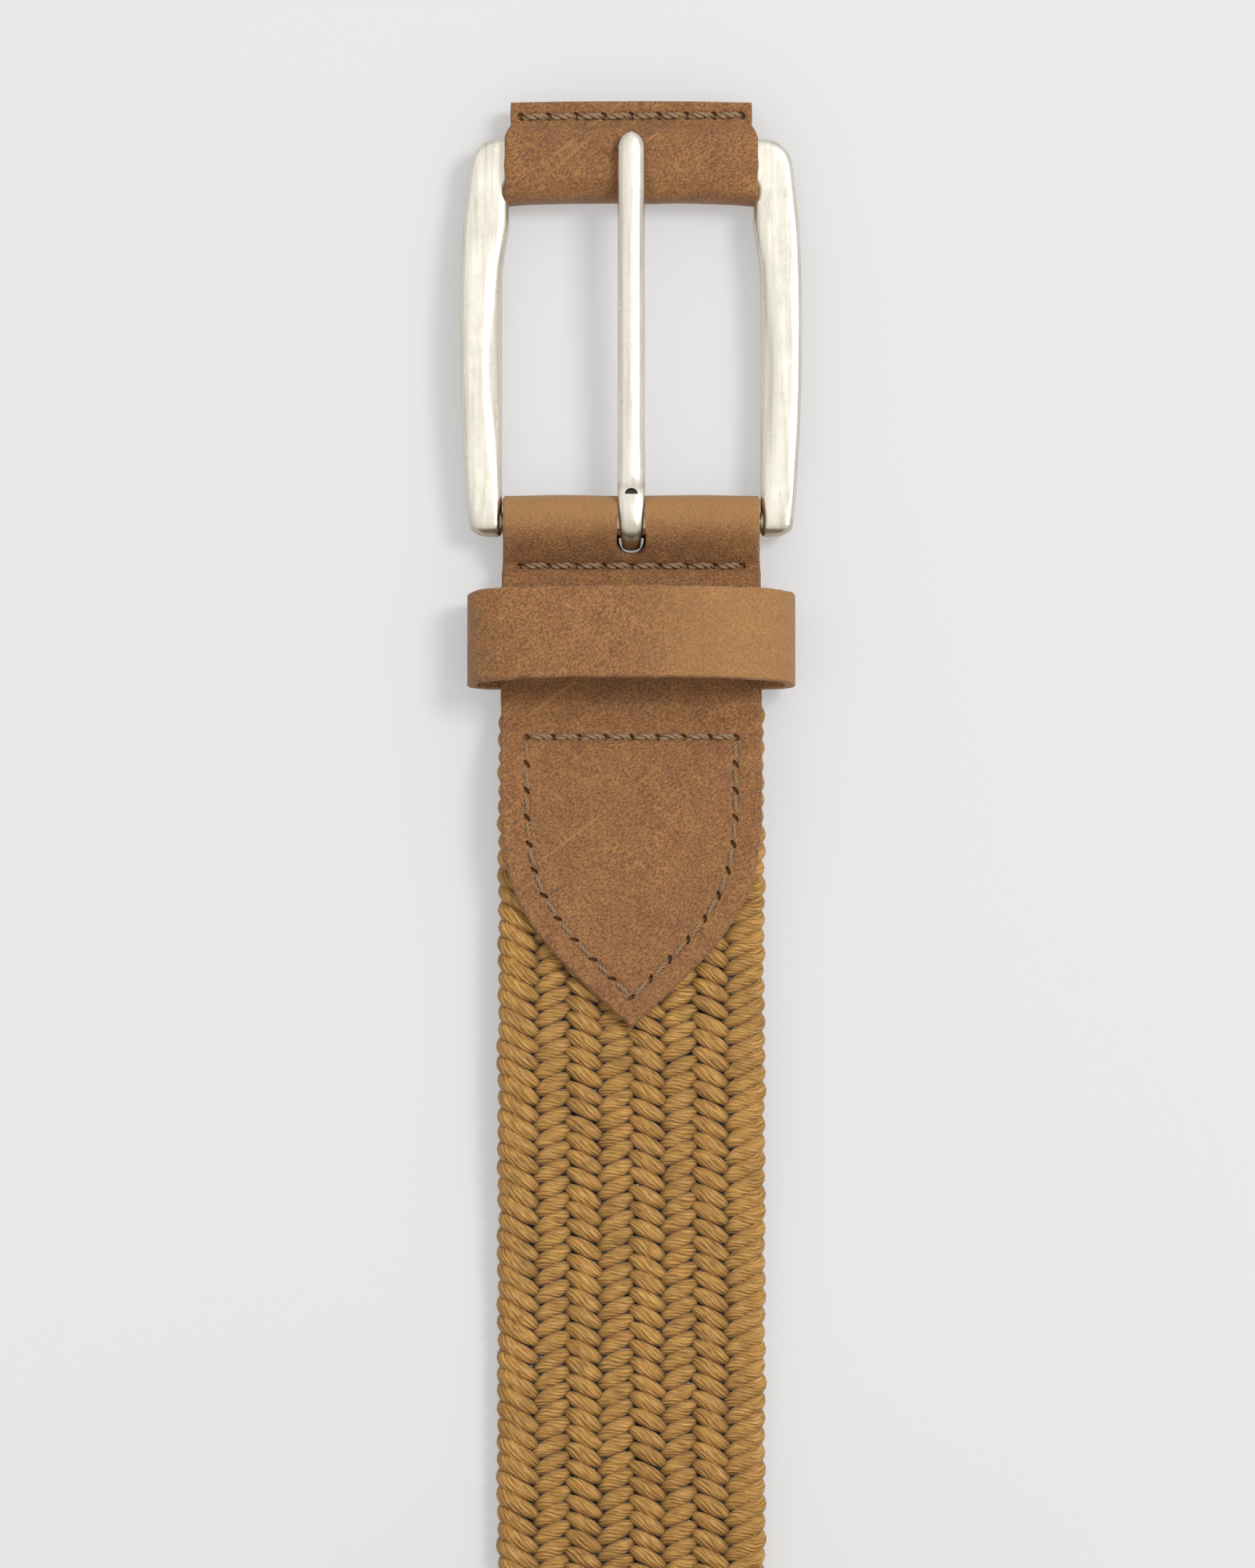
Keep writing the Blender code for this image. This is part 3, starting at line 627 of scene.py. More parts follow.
def nickel_material():
    """Antique nickel: plated zinc casting, tumbled satin, with brown streaks and specks of age. Painted shade darkens
    the faces that turn away from up and the prong's half-moon recess, and the metal is darker behind the hinge.
    """
    colours = bpy.context.scene.belt_colours
    made, tree, shader = new_material("antique_nickel_plate", {"Metallic": 1.0})
    place = add(tree, "ShaderNodeTexCoord").outputs["Object"]
    worn = noise_value(tree, place, 0.0032, 3, 0.6)
    streak = noise_value(tree, place, 0.0007, 2, 0.5, squash=(1.0, 0.05, 1.0))
    sand = noise_value(tree, place, 0.00030, 2, 0.6)
    speck = noise_value(tree, place, 0.0006, 3, 0.65)
    colour, aged_and_shade = linear(colours.metal), linear(colours.metal_dark)
    normal = add(tree, "ShaderNodeNewGeometry").outputs["Normal"]
    up = add(tree, "ShaderNodeSeparateXYZ", {0: normal}).outputs[2]
    back = add(tree, "ShaderNodeSeparateXYZ", {0: place}).outputs[1]
    # Painted shade: faces that turn away from up take up to 40% of the dark brown.
    colour = stained(tree, colour, aged_and_shade, up, 0.78, 0.0, 0.40)
    colour = stained(tree, colour, aged_and_shade, streak, 0.46, 0.74, 0.28)
    colour = stained(tree, colour, aged_and_shade, speck, 0.58, 0.72, 0.20)
    # Darker behind the hinge, on the arms' rounded ends and the heel bar.
    colour = stained(tree, colour, aged_and_shade, back, HINGE.y + 0.0015, HINGE.y - 0.0030, 0.70)
    # Painted shade: near-black colour fills the prong's half-moon recess, where its shadow falls.
    recess = add(tree, "ShaderNodeVectorMath", {0: place, 1: (0.0, HINGE.y + 0.0036, MOON_FLOOR)}, operation="DISTANCE")
    recess_shade_colour = (0.03, 0.022, 0.015, 1.0)
    colour = stained(tree, colour, recess_shade_colour, recess.outputs["Value"], 0.00095, 0.00070, 0.95)
    bumps = (worn, 0.18, 0.0001), (streak, 0.3, 0.00006), (sand, 0.25, 0.00004)
    dress(tree, shader, colour, (worn, 0.3, 0.7, 0.26, 0.38), bumps)
    return made


def look(name):
    """A finish by name, made once."""
    makers = {
        # The chape's fold and the keeper's right side are lightened: painted highlight towards the light, on the fold
        # together with wear.
        "chape": lambda: leather_material("waxed_nubuck_chape", 0.87, (1, HINGE.y - 0.0042, HINGE.y + 0.0022, 0.65)),
        "keeper": lambda: leather_material("waxed_nubuck_keeper", 0.94, (0, -0.004, 0.013, 0.4)),
        "sleeve": lambda: leather_material("waxed_nubuck_sleeve", 0.89),
        "cord": cord_material,
        "thread": thread_material,
        "nickel": nickel_material,
    }
    key = f"belt {name}"
    held = bpy.context.scene.get(key)
    if held is None:
        held = makers[name]().name
        bpy.context.scene[key] = held
    return bpy.data.materials[held]


# The braid


def cord_tables(columns):
    """One period of a cord's run, in steps of the weave's pitch: across, layer, squeeze, lean and twist."""
    grain = 64
    period = 2 * columns + 1
    step = np.arange(period * grain) / grain
    going = np.interp(step, [0, columns, columns + 0.5, period - 0.5, period], [-1, 1, 1, -1, -1])
    turns = [*range(1, columns), columns + 0.25, *(columns + 0.5 + i for i in range(1, columns)), period - 0.25]
    layer = np.ones(len(step))
    for turn in turns:
        layer[step >= turn] *= -1
    squeeze = np.zeros(len(step))
    for turn in turns:
        squeeze[np.abs(step - turn) < 0.16] = 1.0 if turn % 1 in (0.0, 0.5) else 0.35
    lean = np.where((step < columns + 0.25) | (step > period - 0.25), 1.0, -1.0)

    tables = [
        smoothed_loop([values], bell(int(reach * grain) - 1))[0]
        for values, reach in ((going, 0.5), (layer, 0.31), (squeeze, 0.30), (lean, 0.3))
    ]
    return step, period, (*tables, np.cumsum(tables[3]) / grain)


def make_cord(index, sizes, tables, rng):
    """One cord of the braid from end to end, as a mesh in strap coordinates bent to the strap's run."""
    step, period, columns = tables
    pitch = sizes.weave_pitch
    rate, sides = 8, 10
    start, end = BRAID_START + 0.0004, BELT_LENGTH - TIP_BRAID_SHORT - 0.0005
    first = int((start / pitch - index) * rate) + 1
    last = int((end / pitch - index) * rate)
    w = np.arange(first, last) / rate
    phase = np.mod(w, period)
    across, up, squeezed, side, turn = (np.interp(phase, step, column, period=period) for column in columns)
    knots = np.arange(math.floor(w[0]) - 1, math.ceil(w[-1]) + 3) + 0.5
    uneven = (0.00007, 0.00006, 0.045, 0.045)  # across and along in metres, width and thickness as shares
    wander = [np.interp(w, knots, amount * rng.standard_normal(len(knots))) for amount in uneven]
    # The turn at each edge reaches half the strap's width less the cord's own thickness.
    x = across * (STRAP_WIDTH / 2 - 0.00088) + wander[0]
    s = (w + index) * pitch + wander[1]
    # On its way back a cord lies a little lower, wider and flatter.
    h = up * 0.001 * np.where(side > 0, 1.0, 0.94)
    line = np.stack([x, s, h], axis=1)
    run = np.gradient(line, axis=0)
    flat = unit(np.stack([run[:, 1], -run[:, 0], np.zeros(len(run))], axis=1))
    out = unit(np.cross(flat, run))
    wide = sizes.cord_half_width * (1 - 0.42 * squeezed) * (1 + wander[2]) * np.where(side > 0, 0.98, 1.03)
    thick = 0.00115 * (1 - 0.10 * squeezed) * (1 + wander[3]) * np.where(side > 0, 1.0, 0.93)
    angle = np.linspace(0, 2 * math.pi, sides, endpoint=False)
    rings = line[:, None] + flat[:, None] * (np.cos(angle)[None] * wide[:, None])[..., None]
    rings = rings + out[:, None] * (np.sin(angle)[None] * thick[:, None])[..., None]
    cord = tube(f"cord_{index + 1:02d}", rings, uv_scale=((len(w) - 1) / rate * pitch * 2.1, 1.0))
    twist_uv(cord, turn, 0.16)
    points = mesh_points(cord.data)
    # The height off the strap's middle, which paints shade into the cord's colour: the strap's edges count as high, as
    # nothing shades them.
    height = np.maximum(np.abs(points[:, 2]) / STRAP_CORE, smoothstep(0.0158, 0.0170, np.abs(points[:, 0])))
    cord.data.attributes.new("height", "FLOAT", "POINT").data.foreach_set("value", height.astype(np.float32))
    points[:, 2] *= core_half(points[:, 1]) / STRAP_CORE
    set_mesh_points(cord.data, along_strap(points))
    return cord


def twist_uv(obj, turn, amount):
    """Shears the UV map so that the fibres lean one way on the cord's way out and the other on its way back."""
    uv = mesh_uv(obj.data)
    share = uv[:, 0] / uv[:, 0].max()
    uv[:, 1] += amount * np.interp(share, np.linspace(0, 1, len(turn)), turn)
    set_mesh_uv(obj.data, uv)


# Operators


class BELT_OT_stage(bpy.types.Operator):
    """Floor, light and camera"""

    bl_idname = "belt.stage"
    bl_label = "Stage"

    def execute(self, context):
        colours = context.scene.belt_colours
        bm = bmesh.new()
        bmesh.ops.create_grid(bm, x_segments=1, y_segments=1, size=3)
        floor = new_object("floor", mesh_of(bm, "floor"))
        # A light table's opal sheet glows a little, which keeps the shadows on it pale.
        settings = {"Base Color": linear(colours.floor), "Roughness": 1.0, "Specular IOR Level": 0.0}
        settings |= {"Emission Color": (1, 1, 1, 1), "Emission Strength": 0.32}
        floor.data.materials.append(new_material("opal_acrylic_floor", settings)[0])

        world = bpy.data.worlds.new("studio")
        context.scene.world = world
        world.use_nodes = True
        tree = world.node_tree
        background = tree.nodes["Background"]
        direction = add(tree, "ShaderNodeTexCoord").outputs["Generated"]
        height = add(tree, "ShaderNodeSeparateXYZ", {0: direction}).outputs[2]
        glow = add(tree, "ShaderNodeValToRGB", {0: height})
        ramp = glow.color_ramp
        for place, strength in ((0.30, 0.66), (0.62, 0.89), (0.90, 0.93)):
            ramp.elements.new(place).color = (strength, strength, strength, 1)
        ramp.elements[0].color, ramp.elements[-1].color = (0.40, 0.40, 0.40, 1), (0.90, 0.90, 0.90, 1)
        tree.links.new(glow.outputs[0], background.inputs["Strength"])
        background.inputs["Color"].default_value = (1, 1, 1, 1)

        lamp = bpy.data.lights.new("key", "AREA")
        lamp.shape, lamp.size = "DISK", 0.9
        lamp.energy = 34.0
        key = bpy.data.objects.new("key", lamp)
        key.location = HINGE + Vector((1.35, 0.55, 2.2))
        key.rotation_euler = (HINGE + Vector((0, -0.04, 0)) - key.location).to_track_quat("-Z", "Y").to_euler()
        context.scene.collection.objects.link(key)

        camera = bpy.data.cameras.new("camera")
        camera.sensor_width, camera.sensor_fit = 36, "AUTO"
        distance, tilt, tall = 2.2, math.radians(81.5), 0.2067
        camera.lens = 18 / (tall / 2 / distance)
        camera.clip_start, camera.clip_end = 0.01, 10
        eye = bpy.data.objects.new("camera", camera)
        target = Vector((-0.0005, HINGE.y - 0.0350, 0.0047))
        back = Vector((0, -math.cos(tilt), math.sin(tilt)))
        eye.location = target + back * distance
        eye.rotation_euler = (-back).to_track_quat("-Z", "Y").to_euler()
        context.scene.collection.objects.link(eye)
        context.scene.camera = eye
        context.scene.view_settings.view_transform = "Standard"
        return {"FINISHED"}


class BELT_OT_braid(bpy.types.Operator):
    """The plaited strap, one piece for each cord"""

    bl_idname = "belt.braid"
    bl_label = "Braid"

    def execute(self, context):
        sizes = context.scene.belt_sizes
        rng = np.random.default_rng(7)
        tables = cord_tables(sizes.weave_columns)
        for index in range(2 * sizes.weave_columns + 1):
            cord = make_cord(index, sizes, tables, rng)
            finished(cord, "strap", look("cord"), "braided_strap", smooth=180)
        return {"FINISHED"}


# Outlines of the leather


def shield_side(inset=0.0, count=48):
    """(x, y) points from the shoulder to the point of the leather's shield, on the +X side."""
    shoulder = np.array((CHAPE_HALF_WIDTH - inset, -SHIELD_SHOULDER))
    tip = np.array((0, -SHIELD_TIP + inset * 1.12))
    drop = shoulder[1] - tip[1]
    hip = np.array((shoulder[0], shoulder[1] - 0.48 * drop))
    flank = np.array((0.72 * shoulder[0], shoulder[1] - 0.62 * drop))
    t = np.linspace(0, 1, count + 1)[:, None]
    return (1 - t) ** 3 * shoulder + 3 * t * (1 - t) ** 2 * hip + 3 * t * t * (1 - t) * flank + t**3 * tip


def chape_half_width(y):
    side = shield_side()[::-1]
    edge_y = np.concatenate([side[:, 1], [-0.009, -0.0052, 0.01]])
    edge_x = np.concatenate([side[:, 0], [CHAPE_HALF_WIDTH, FOLD_HALF_WIDTH, FOLD_HALF_WIDTH]])
    return np.maximum(np.interp(y, edge_y, edge_x), 0.00035)


def tip_half_width(s):
    """Half the tip's width: a shield's point towards the buckle and a rounded end."""
    start, nose = BELT_LENGTH - TIP_LENGTH, 0.02
    side = shield_side()[::-1]
    pointed = np.interp(s, start + SHIELD_TIP + side[:, 1], side[:, 0]) * STRAP_WIDTH / 2 / CHAPE_HALF_WIDTH
    turn = np.arcsin(np.clip((s - (BELT_LENGTH - nose)) / nose, 0, 1))
    return np.maximum(np.minimum(pointed, STRAP_WIDTH / 2 * np.cos(turn) ** 0.8), 0.00035)


def shield_stitches(sizes):
    """The holes of the row across the leather and those down its two sides to the point."""
    half = CHAPE_HALF_WIDTH - STITCH_INSET
    right = np.concatenate([[(half, SHIELD_ROW_Y)], shield_side(STITCH_INSET)])
    row = resampled([(-half, SHIELD_ROW_Y), (half, SHIELD_ROW_Y)], sizes.stitch_length)
    side = resampled(right, sizes.stitch_length)
    return row, np.concatenate([side, side[-2::-1] * (-1, 1)])


def tip_stitches(sizes):
    s = np.linspace(BELT_LENGTH - TIP_LENGTH + STITCH_INSET * 1.15, BELT_LENGTH - STITCH_INSET, 160)
    half = np.maximum(tip_half_width(s) - STITCH_INSET, 0)
    right = np.stack([half, s], axis=1)
    return resampled(np.concatenate([right, right[::-1] * (-1, 1)]), sizes.stitch_length)


def distance_to(points, line):
    """How far each (x, y) point is from a line of points."""
    nearest = np.full(len(points), 1.0)
    for a, b in zip(line, line[1:]):
        run = b - a
        share = np.clip((points - a) @ run / (run @ run + 1e-18), 0, 1)
        nearest = np.minimum(nearest, np.linalg.norm(points - a - share[:, None] * run, axis=1))
    return nearest


def waves(points, size, amount, rng, count=9):
    """A gentle uneven surface: a sum of sine waves in random directions, of about this size and height."""
    total = np.zeros(len(points))
    for _ in range(count):
        turn, phase = rng.uniform(0, 2 * math.pi, 2)
        length = size * rng.uniform(0.6, 1.7)
        total += np.sin(2 * math.pi * (points[:, 0] * math.cos(turn) + points[:, 1] * math.sin(turn)) / length + phase)
    return amount * total / math.sqrt(count)


def pressed(points, line, depth, reach):
    """Sinks the outer face along a line of stitches."""
    outer = points[:, 2] > 0
    near = np.exp(-((distance_to(points[:, :2], line) / reach) ** 2))
    points[:, 2] -= np.where(outer, depth * near, 0)


def ragged(points, half_width, amount, rng):
    """Roughens a cut edge a little, most at the very edge."""
    share = np.clip(np.abs(points[:, 0]) / half_width, 0, 1) ** 6
    shift = waves(points[:, [1, 1]], 0.0035, amount, rng) + waves(points[:, [1, 1]], 0.0009, amount * 0.45, rng)
    points[:, 0] += np.sign(points[:, 0]) * share * shift


def sewn(name, strip, holes, ply_radius, node, body):
    """One face's thread along flat (x, way along) holes of a strip, as a finished piece."""
    spots = strip.place(np.column_stack([holes, np.full(len(holes), LEATHER / 2 - THREAD_SINK)]))
    line = stitched_line(spots, strip.out(holes[:, 1]), 0.0009, ply_radius * 1.2)
    return finished(twisted(name, line, ply_radius), body, look("thread"), node, smooth=180)


def hairs(name, roots, aims, rng, length=0.0007, radius=0.000022):
    """Loose leather fibres: thin curled threads from the roots, most of them short."""
    pieces = []
    for root, aim in zip(roots, aims):
        long = length * rng.uniform(0.35, 1.0) ** 1.5
        share = np.linspace(0, 1, 6)[:, None]
        curl = rng.normal(0, 0.55, 3)
        line = root + (np.asarray(aim) * share + curl * share**2) * long
        pieces.append(tube("hair", round_rings(line, radius * np.linspace(1.3, 0.5, 6), 4)))
    return join(pieces, name)


class BELT_OT_chape(bpy.types.Operator):
    """Leather folded round the heel bar, with its stitching"""

    bl_idname = "belt.chape"
    bl_label = "Chape"

    def execute(self, context):
        sizes = context.scene.belt_sizes
        rng = np.random.default_rng(3)
        over_braid = (SHIELD_TIP, 0.055, 0.045, 0.036, 0.032, 0.029, 0.026)
        line = [(-s, laid_height(s) + core_half(s) + LAYER_GAP + LEATHER / 2) for s in over_braid]
        line += [(-0.0235, TUNNEL_Z), (-0.0074, TUNNEL_Z), (PINCH_Y - 0.0006, PINCH_Z), (PINCH_Y + 0.0006, PINCH_Z)]
        turn = np.radians(np.linspace(135, -90, 26))
        line += list(zip(FOLD_RADIUS * np.cos(turn), HINGE_Z + FOLD_RADIUS * np.sin(turn)))
        strip = Strip(line + [(-SHIELD_TIP, LEATHER / 2)])
        chape = strip.flat("chape_leather", lambda t: chape_half_width(np.interp(t, strip.at, strip.line[:, 0])))

        fold = resampled([(-ROW_HALF_LENGTH, PINCH_Y), (ROW_HALF_LENGTH, PINCH_Y)], ROW_STITCH)
        row, sides = shield_stitches(sizes)
        bm = bmesh.new()
        turn = np.linspace(0, math.pi, 15)
        round_end = SLOT_HALF_WIDTH * np.stack([np.cos(turn), 1 - np.sin(turn)], axis=1)
        top_end, back_end = strip.way(SLOT_TOP_END, 0, 0.5), strip.way(SLOT_BACK_END, 0.5, 1)
        # Underneath, the slot is narrower.
        slot = [(x, top_end + t) for x, t in round_end] + [(-0.84 * x, back_end - t) for x, t in round_end]
        prism(bm, slot, -0.002, 0.002)
        # Holes, their width, height and lean, how deep the thread presses the leather and how far round
        rows = (
            (fold, 0.0013, 0.0011, 20, 0.00030, 0.0008),
            (row, 0.0012, 0.0010, 20, 0.00026, 0.0006),
            (sides, 0.0006, 0.0013, 34, 0.00022, 0.00042),
        )
        dents = []
        for a, b in ((0, 0.5), (0.5, 1)):
            for holes, wide, high, lean, depth, reach in rows:
                flat = strip.unrolled(holes, a, b)
                awl_holes(bm, flat[1:-1] if holes is sides else flat, wide, high, lean)
                dents.append((flat, depth, reach))
        cut(chape, bm)

        points = mesh_points(chape.data)
        for path, depth, reach in dents:
            pressed(points, path, depth, reach)
        # Puckers between the stitches behind the bar
        top_row = strip.way(PINCH_Y, 0, 0.5)
        pucker = np.exp(-(((points[:, 1] - top_row - 0.0009) / 0.0008) ** 2)) * (points[:, 1] < strip.length / 2)
        points[:, 2] += 0.00007 * pucker * np.cos(2 * math.pi * points[:, 0] / 0.00365)
        points[:, 2] += waves(points, 0.011, 0.00005, rng)
        ragged(points, chape_half_width(np.interp(points[:, 1], strip.at, strip.line[:, 0])), 0.00005, rng)
        set_mesh_points(chape.data, strip.place(points))
        finished(chape, "strap", look("chape"), "chape_leather", smooth=50)

        for face, (a, b) in (("top", (0, 0.5)), ("back", (0.5, 1))):
            for part, holes, radius, node in (
                ("fold_thread", fold, sizes.row_thread, "fold_stitching"),
                ("shield_row_thread", row, sizes.row_thread, "shield_stitching"),
                ("shield_side_thread", sides, sizes.edge_thread, "shield_stitching"),
            ):
                sewn(f"{part}_{face}", strip, strip.unrolled(holes, a, b), radius, node, "strap")
        return {"FINISHED"}


class BELT_OT_sleeve(bpy.types.Operator):
    """Leather round the front bar, sewn together in front of it"""

    bl_idname = "belt.sleeve"
    bl_label = "Sleeve"

    def execute(self, context):
        sizes = context.scene.belt_sizes
        rng = np.random.default_rng(4)
        clear = 0.0002 + LEATHER / 2
        top, back, front = FRAME_THICKNESS / 2 + clear, FRONT_INNER_Y - clear, FRONT_OUTER_Y + clear
        upper = [(FLAP_END_Y, FLAP_LAYER), (front + 0.0010, FLAP_LAYER)]
        upper += [(front + 0.0001, 0.0014), (front - 0.0006, 0.0024)]
        upper += [(front - 0.0016, top), (back + 0.0018, top), (back + 0.0006, top - 0.0006), (back, top - 0.0018)]
        profile = [(y, FRONT_Z - z) for y, z in upper] + [(y, FRONT_Z + z) for y, z in reversed(upper)]
        strip = Strip(profile, step=0.00025, soften=0.001)

        def half_width(t):
            y = np.interp(t, strip.at, strip.line[:, 0])
            return SLEEVE_HALF_WIDTH + (FLAP_HALF_WIDTH - SLEEVE_HALF_WIDTH) * smoothstep(0.0510, 0.0535, y)

        sleeve = strip.flat("front_bar_sleeve", half_width, columns=84, radius=0.0003, step=0.00036, end_radius=0.0003)
        holes = resampled([(-ROW_HALF_LENGTH, FLAP_STITCH_Y), (ROW_HALF_LENGTH, FLAP_STITCH_Y)], ROW_STITCH)
        holes[:, 1] += 0.00012 * np.linspace(-1, 1, len(holes))
        faces = {"back": strip.unrolled(holes, 0, 0.3), "top": strip.unrolled(holes, 0.7, 1)}
        bm = bmesh.new()
        for flat in faces.values():
            awl_holes(bm, flat, 0.0013, 0.0010, 25)
        cut(sleeve, bm)
        points = mesh_points(sleeve.data)
        for flat in faces.values():
            pressed(points, flat, 0.00030, 0.0007)
        points[:, 2] += waves(points, 0.009, 0.00005, rng)
        ragged(points, half_width(points[:, 1]), 0.00005, rng)
        placed = strip.place(points)
        # The sleeve's back edge hangs lower at its corners, and the flap's edge is a little uneven.
        corner = np.abs(placed[:, 0] / SLEEVE_HALF_WIDTH)
        placed[:, 1] -= 0.00045 * corner**5 * smoothstep(0.0488, 0.0440, placed[:, 1])
        placed[:, 1] -= 0.00022 * corner**2 * smoothstep(0.0545, 0.0566, placed[:, 1])
        set_mesh_points(sleeve.data, placed)
        finished(sleeve, "buckle", look("sleeve"), "front_bar_sleeve", smooth=50)
        for face, flat in faces.items():
            sewn(f"sleeve_thread_{face}", strip, flat, sizes.row_thread, "sleeve_stitching", "buckle")
        return {"FINISHED"}


class BELT_OT_keeper(bpy.types.Operator):
    """Leather loop that holds the free end down"""

    bl_idname = "belt.keeper"
    bl_label = "Keeper"

    def execute(self, context):
        rng = np.random.default_rng(5)
        angle = np.linspace(0, 2 * math.pi, 1441)
        across, up = np.cos(angle), np.sin(angle)
        power = np.where(up > 0, 2.6, 8.0)
        x = KEEPER_HALF_SPAN * np.sign(across) * np.abs(across) ** (2 / power)
        z = KEEPER_WIDEST_Z + np.where(up > 0, KEEPER_RISE, KEEPER_DROP) * np.sign(up) * np.abs(up) ** (2 / power)
        step = 0.00042
        line = resampled(np.stack([x, z], axis=1), step)[:-1]
        line = np.stack(smoothed_loop(line.T, bell(3)), axis=1)
        run = unit(np.roll(line, -1, axis=0) - np.roll(line, 1, axis=0))
        out = np.stack([run[:, 1], -run[:, 0]], axis=1)
        section = leather_section(KEEPER_WIDTH / 2, LEATHER / 2, 0.00022, 30)
        rings = np.empty((len(line), len(section), 3))
        rings[..., 0] = line[:, :1] + section[None, :, 1] * out[:, :1]
        rings[..., 1] = KEEPER_Y + section[None, :, 0]
        rings[..., 2] = line[:, 1:] + section[None, :, 1] * out[:, 1:]
        flat = rings.reshape(-1, 3)
        edge = (np.abs(flat[:, 1] - KEEPER_Y) / (KEEPER_WIDTH / 2)) ** 8
        way = np.repeat(np.arange(len(line)) * step, len(section))[:, None]
        side = np.sign(flat[:, 1] - KEEPER_Y)
        rough = waves(way[:, [0, 0]], 0.005, 0.00008, rng) + waves(way[:, [0, 0]], 0.0008, 0.00003, rng)
        flat[:, 1] += edge * side * rough * np.where(flat[:, 2] > 0.006, 1, 0.4)
        flat[:, 2] += waves(flat[:, :2], 0.012, 0.00008, rng) * smoothstep(0.006, 0.010, flat[:, 2])
        keeper = tube("keeper_loop", rings, looped=True)
        finished(keeper, "keeper", look("keeper"), "keeper_loop", smooth=60)

        roots, aims = [], []
        for _ in range(150):
            side = -1 if rng.random() < 0.8 else 1
            span = (0.02, 0.48) if rng.random() < 0.6 else (0.33, 0.5)
            i = int(rng.uniform(*span) * len(line))
            x, z = line[i] + rng.uniform(-0.6, 0.6) * LEATHER / 2 * out[i]
            roots.append((x, KEEPER_Y + side * KEEPER_WIDTH / 2, z))
            aims.append((rng.normal(0, 0.5), side * rng.uniform(0.3, 0.9), rng.normal(0, 0.4)))
        fibres = hairs("keeper_fibres", np.array(roots), np.array(aims), rng)
        finished(fibres, "keeper", look("keeper"), "keeper_loop", smooth=180)
        return {"FINISHED"}


class BELT_OT_tip(bpy.types.Operator):
    """The two leather faces of the free end and their stitching"""

    bl_idname = "belt.tip"
    bl_label = "Tip"

    def execute(self, context):
        sizes = context.scene.belt_sizes
        rng = np.random.default_rng(6)
        start = BELT_LENGTH - TIP_LENGTH
        holes = tip_stitches(sizes)
        flat_strip = Strip([(0, 0), (TIP_LENGTH, 0)], soften=0)
        for name, side in (("tip_front", 1), ("tip_back", -1)):
            face = flat_strip.flat(name, lambda t: tip_half_width(start + t), columns=44, step=0.0007)
            bm = bmesh.new()
            way = holes - (0, start)
            awl_holes(bm, way[1:-1], 0.0005, 0.0011, 30)
            cut(face, bm)
            points = mesh_points(face.data)
            pressed(points, way, 0.0002, 0.00045)
            points[:, 2] += waves(points, 0.011, 0.00004, rng)

            def laid(points, side=side):
                x, t, n = np.asarray(points, float).T
                height = core_half(start + t) + LAYER_GAP + LEATHER / 2 + n
                return along_strap(np.stack([x, start + t, side * height], axis=1))

            set_mesh_points(face.data, laid(points))
            if side < 0:
                face.data.flip_normals()
            finished(face, "strap", look("chape"), name, smooth=50)
            low = laid(np.column_stack([way, np.full(len(way), LEATHER / 2 - THREAD_SINK)]))
            high = laid(np.column_stack([way, np.full(len(way), LEATHER / 2 + 0.0008)]))
            line = stitched_line(low, unit(high - low), 0.0005, sizes.edge_thread * 1.4, 12)
            thread = twisted(f"{name}_thread", line, sizes.edge_thread, sides=6)
            finished(thread, "strap", look("thread"), "tip_stitching", smooth=180)
        return {"FINISHED"}


def frame_middle_z(y):
    share = np.clip(np.asarray(y) / FRONT_INNER_Y, 0.0, 1.0)
    return HINGE_Z + (FRONT_Z - HINGE_Z) * share + FRAME_ARCH * 4 * share * (1 - share)


def frame_edges():
    """Rows of outer x, outer y, inner x, inner y round the right half of the buckle, from the arm's end."""
    rows = [(0.0213, -0.0005, ARM_INNER_X, -0.0005)]
    for y in (0.003, 0.011, 0.019, 0.027, 0.034, 0.040):
        belly = 1 - ((y - 0.026) / 0.026) ** 2
        inner = ARM_INNER_X - 0.0010 * float(smoothstep(0.033, 0.041, y))
        rows.append((0.0215 + 0.0011 * belly, y, inner, y))
    for turn in np.radians(np.arange(0, 91, 18)):
        share = turn / (math.pi / 2)
        outer = (0.0181 + 0.0033 * math.cos(turn), 0.0479 + 0.0032 * (math.sin(turn) + 0.12 * math.sin(turn) ** 3))
        rows.append((*outer, 0.0162 - 0.0004 * share, 0.0442 + 0.0005 * share))
    return rows + [(x, FRONT_OUTER_Y, x, FRONT_INNER_Y) for x in (0.0160, 0.0080)]


def softened_ring(corners, count, reach):
    """A closed polygon as evenly spaced points, with its corners rounded off."""
    ring = resampled(np.concatenate([corners, corners[:1]]), 0.01)[:-1]
    ring = np.stack(smoothed_loop(ring.T, bell(reach)), axis=1)
    low, high = corners.min(axis=0), corners.max(axis=0)
    ring = low + (ring - ring.min(axis=0)) / np.ptp(ring, axis=0) * (high - low)
    return ring[np.linspace(0, len(ring), count, endpoint=False).astype(int)]


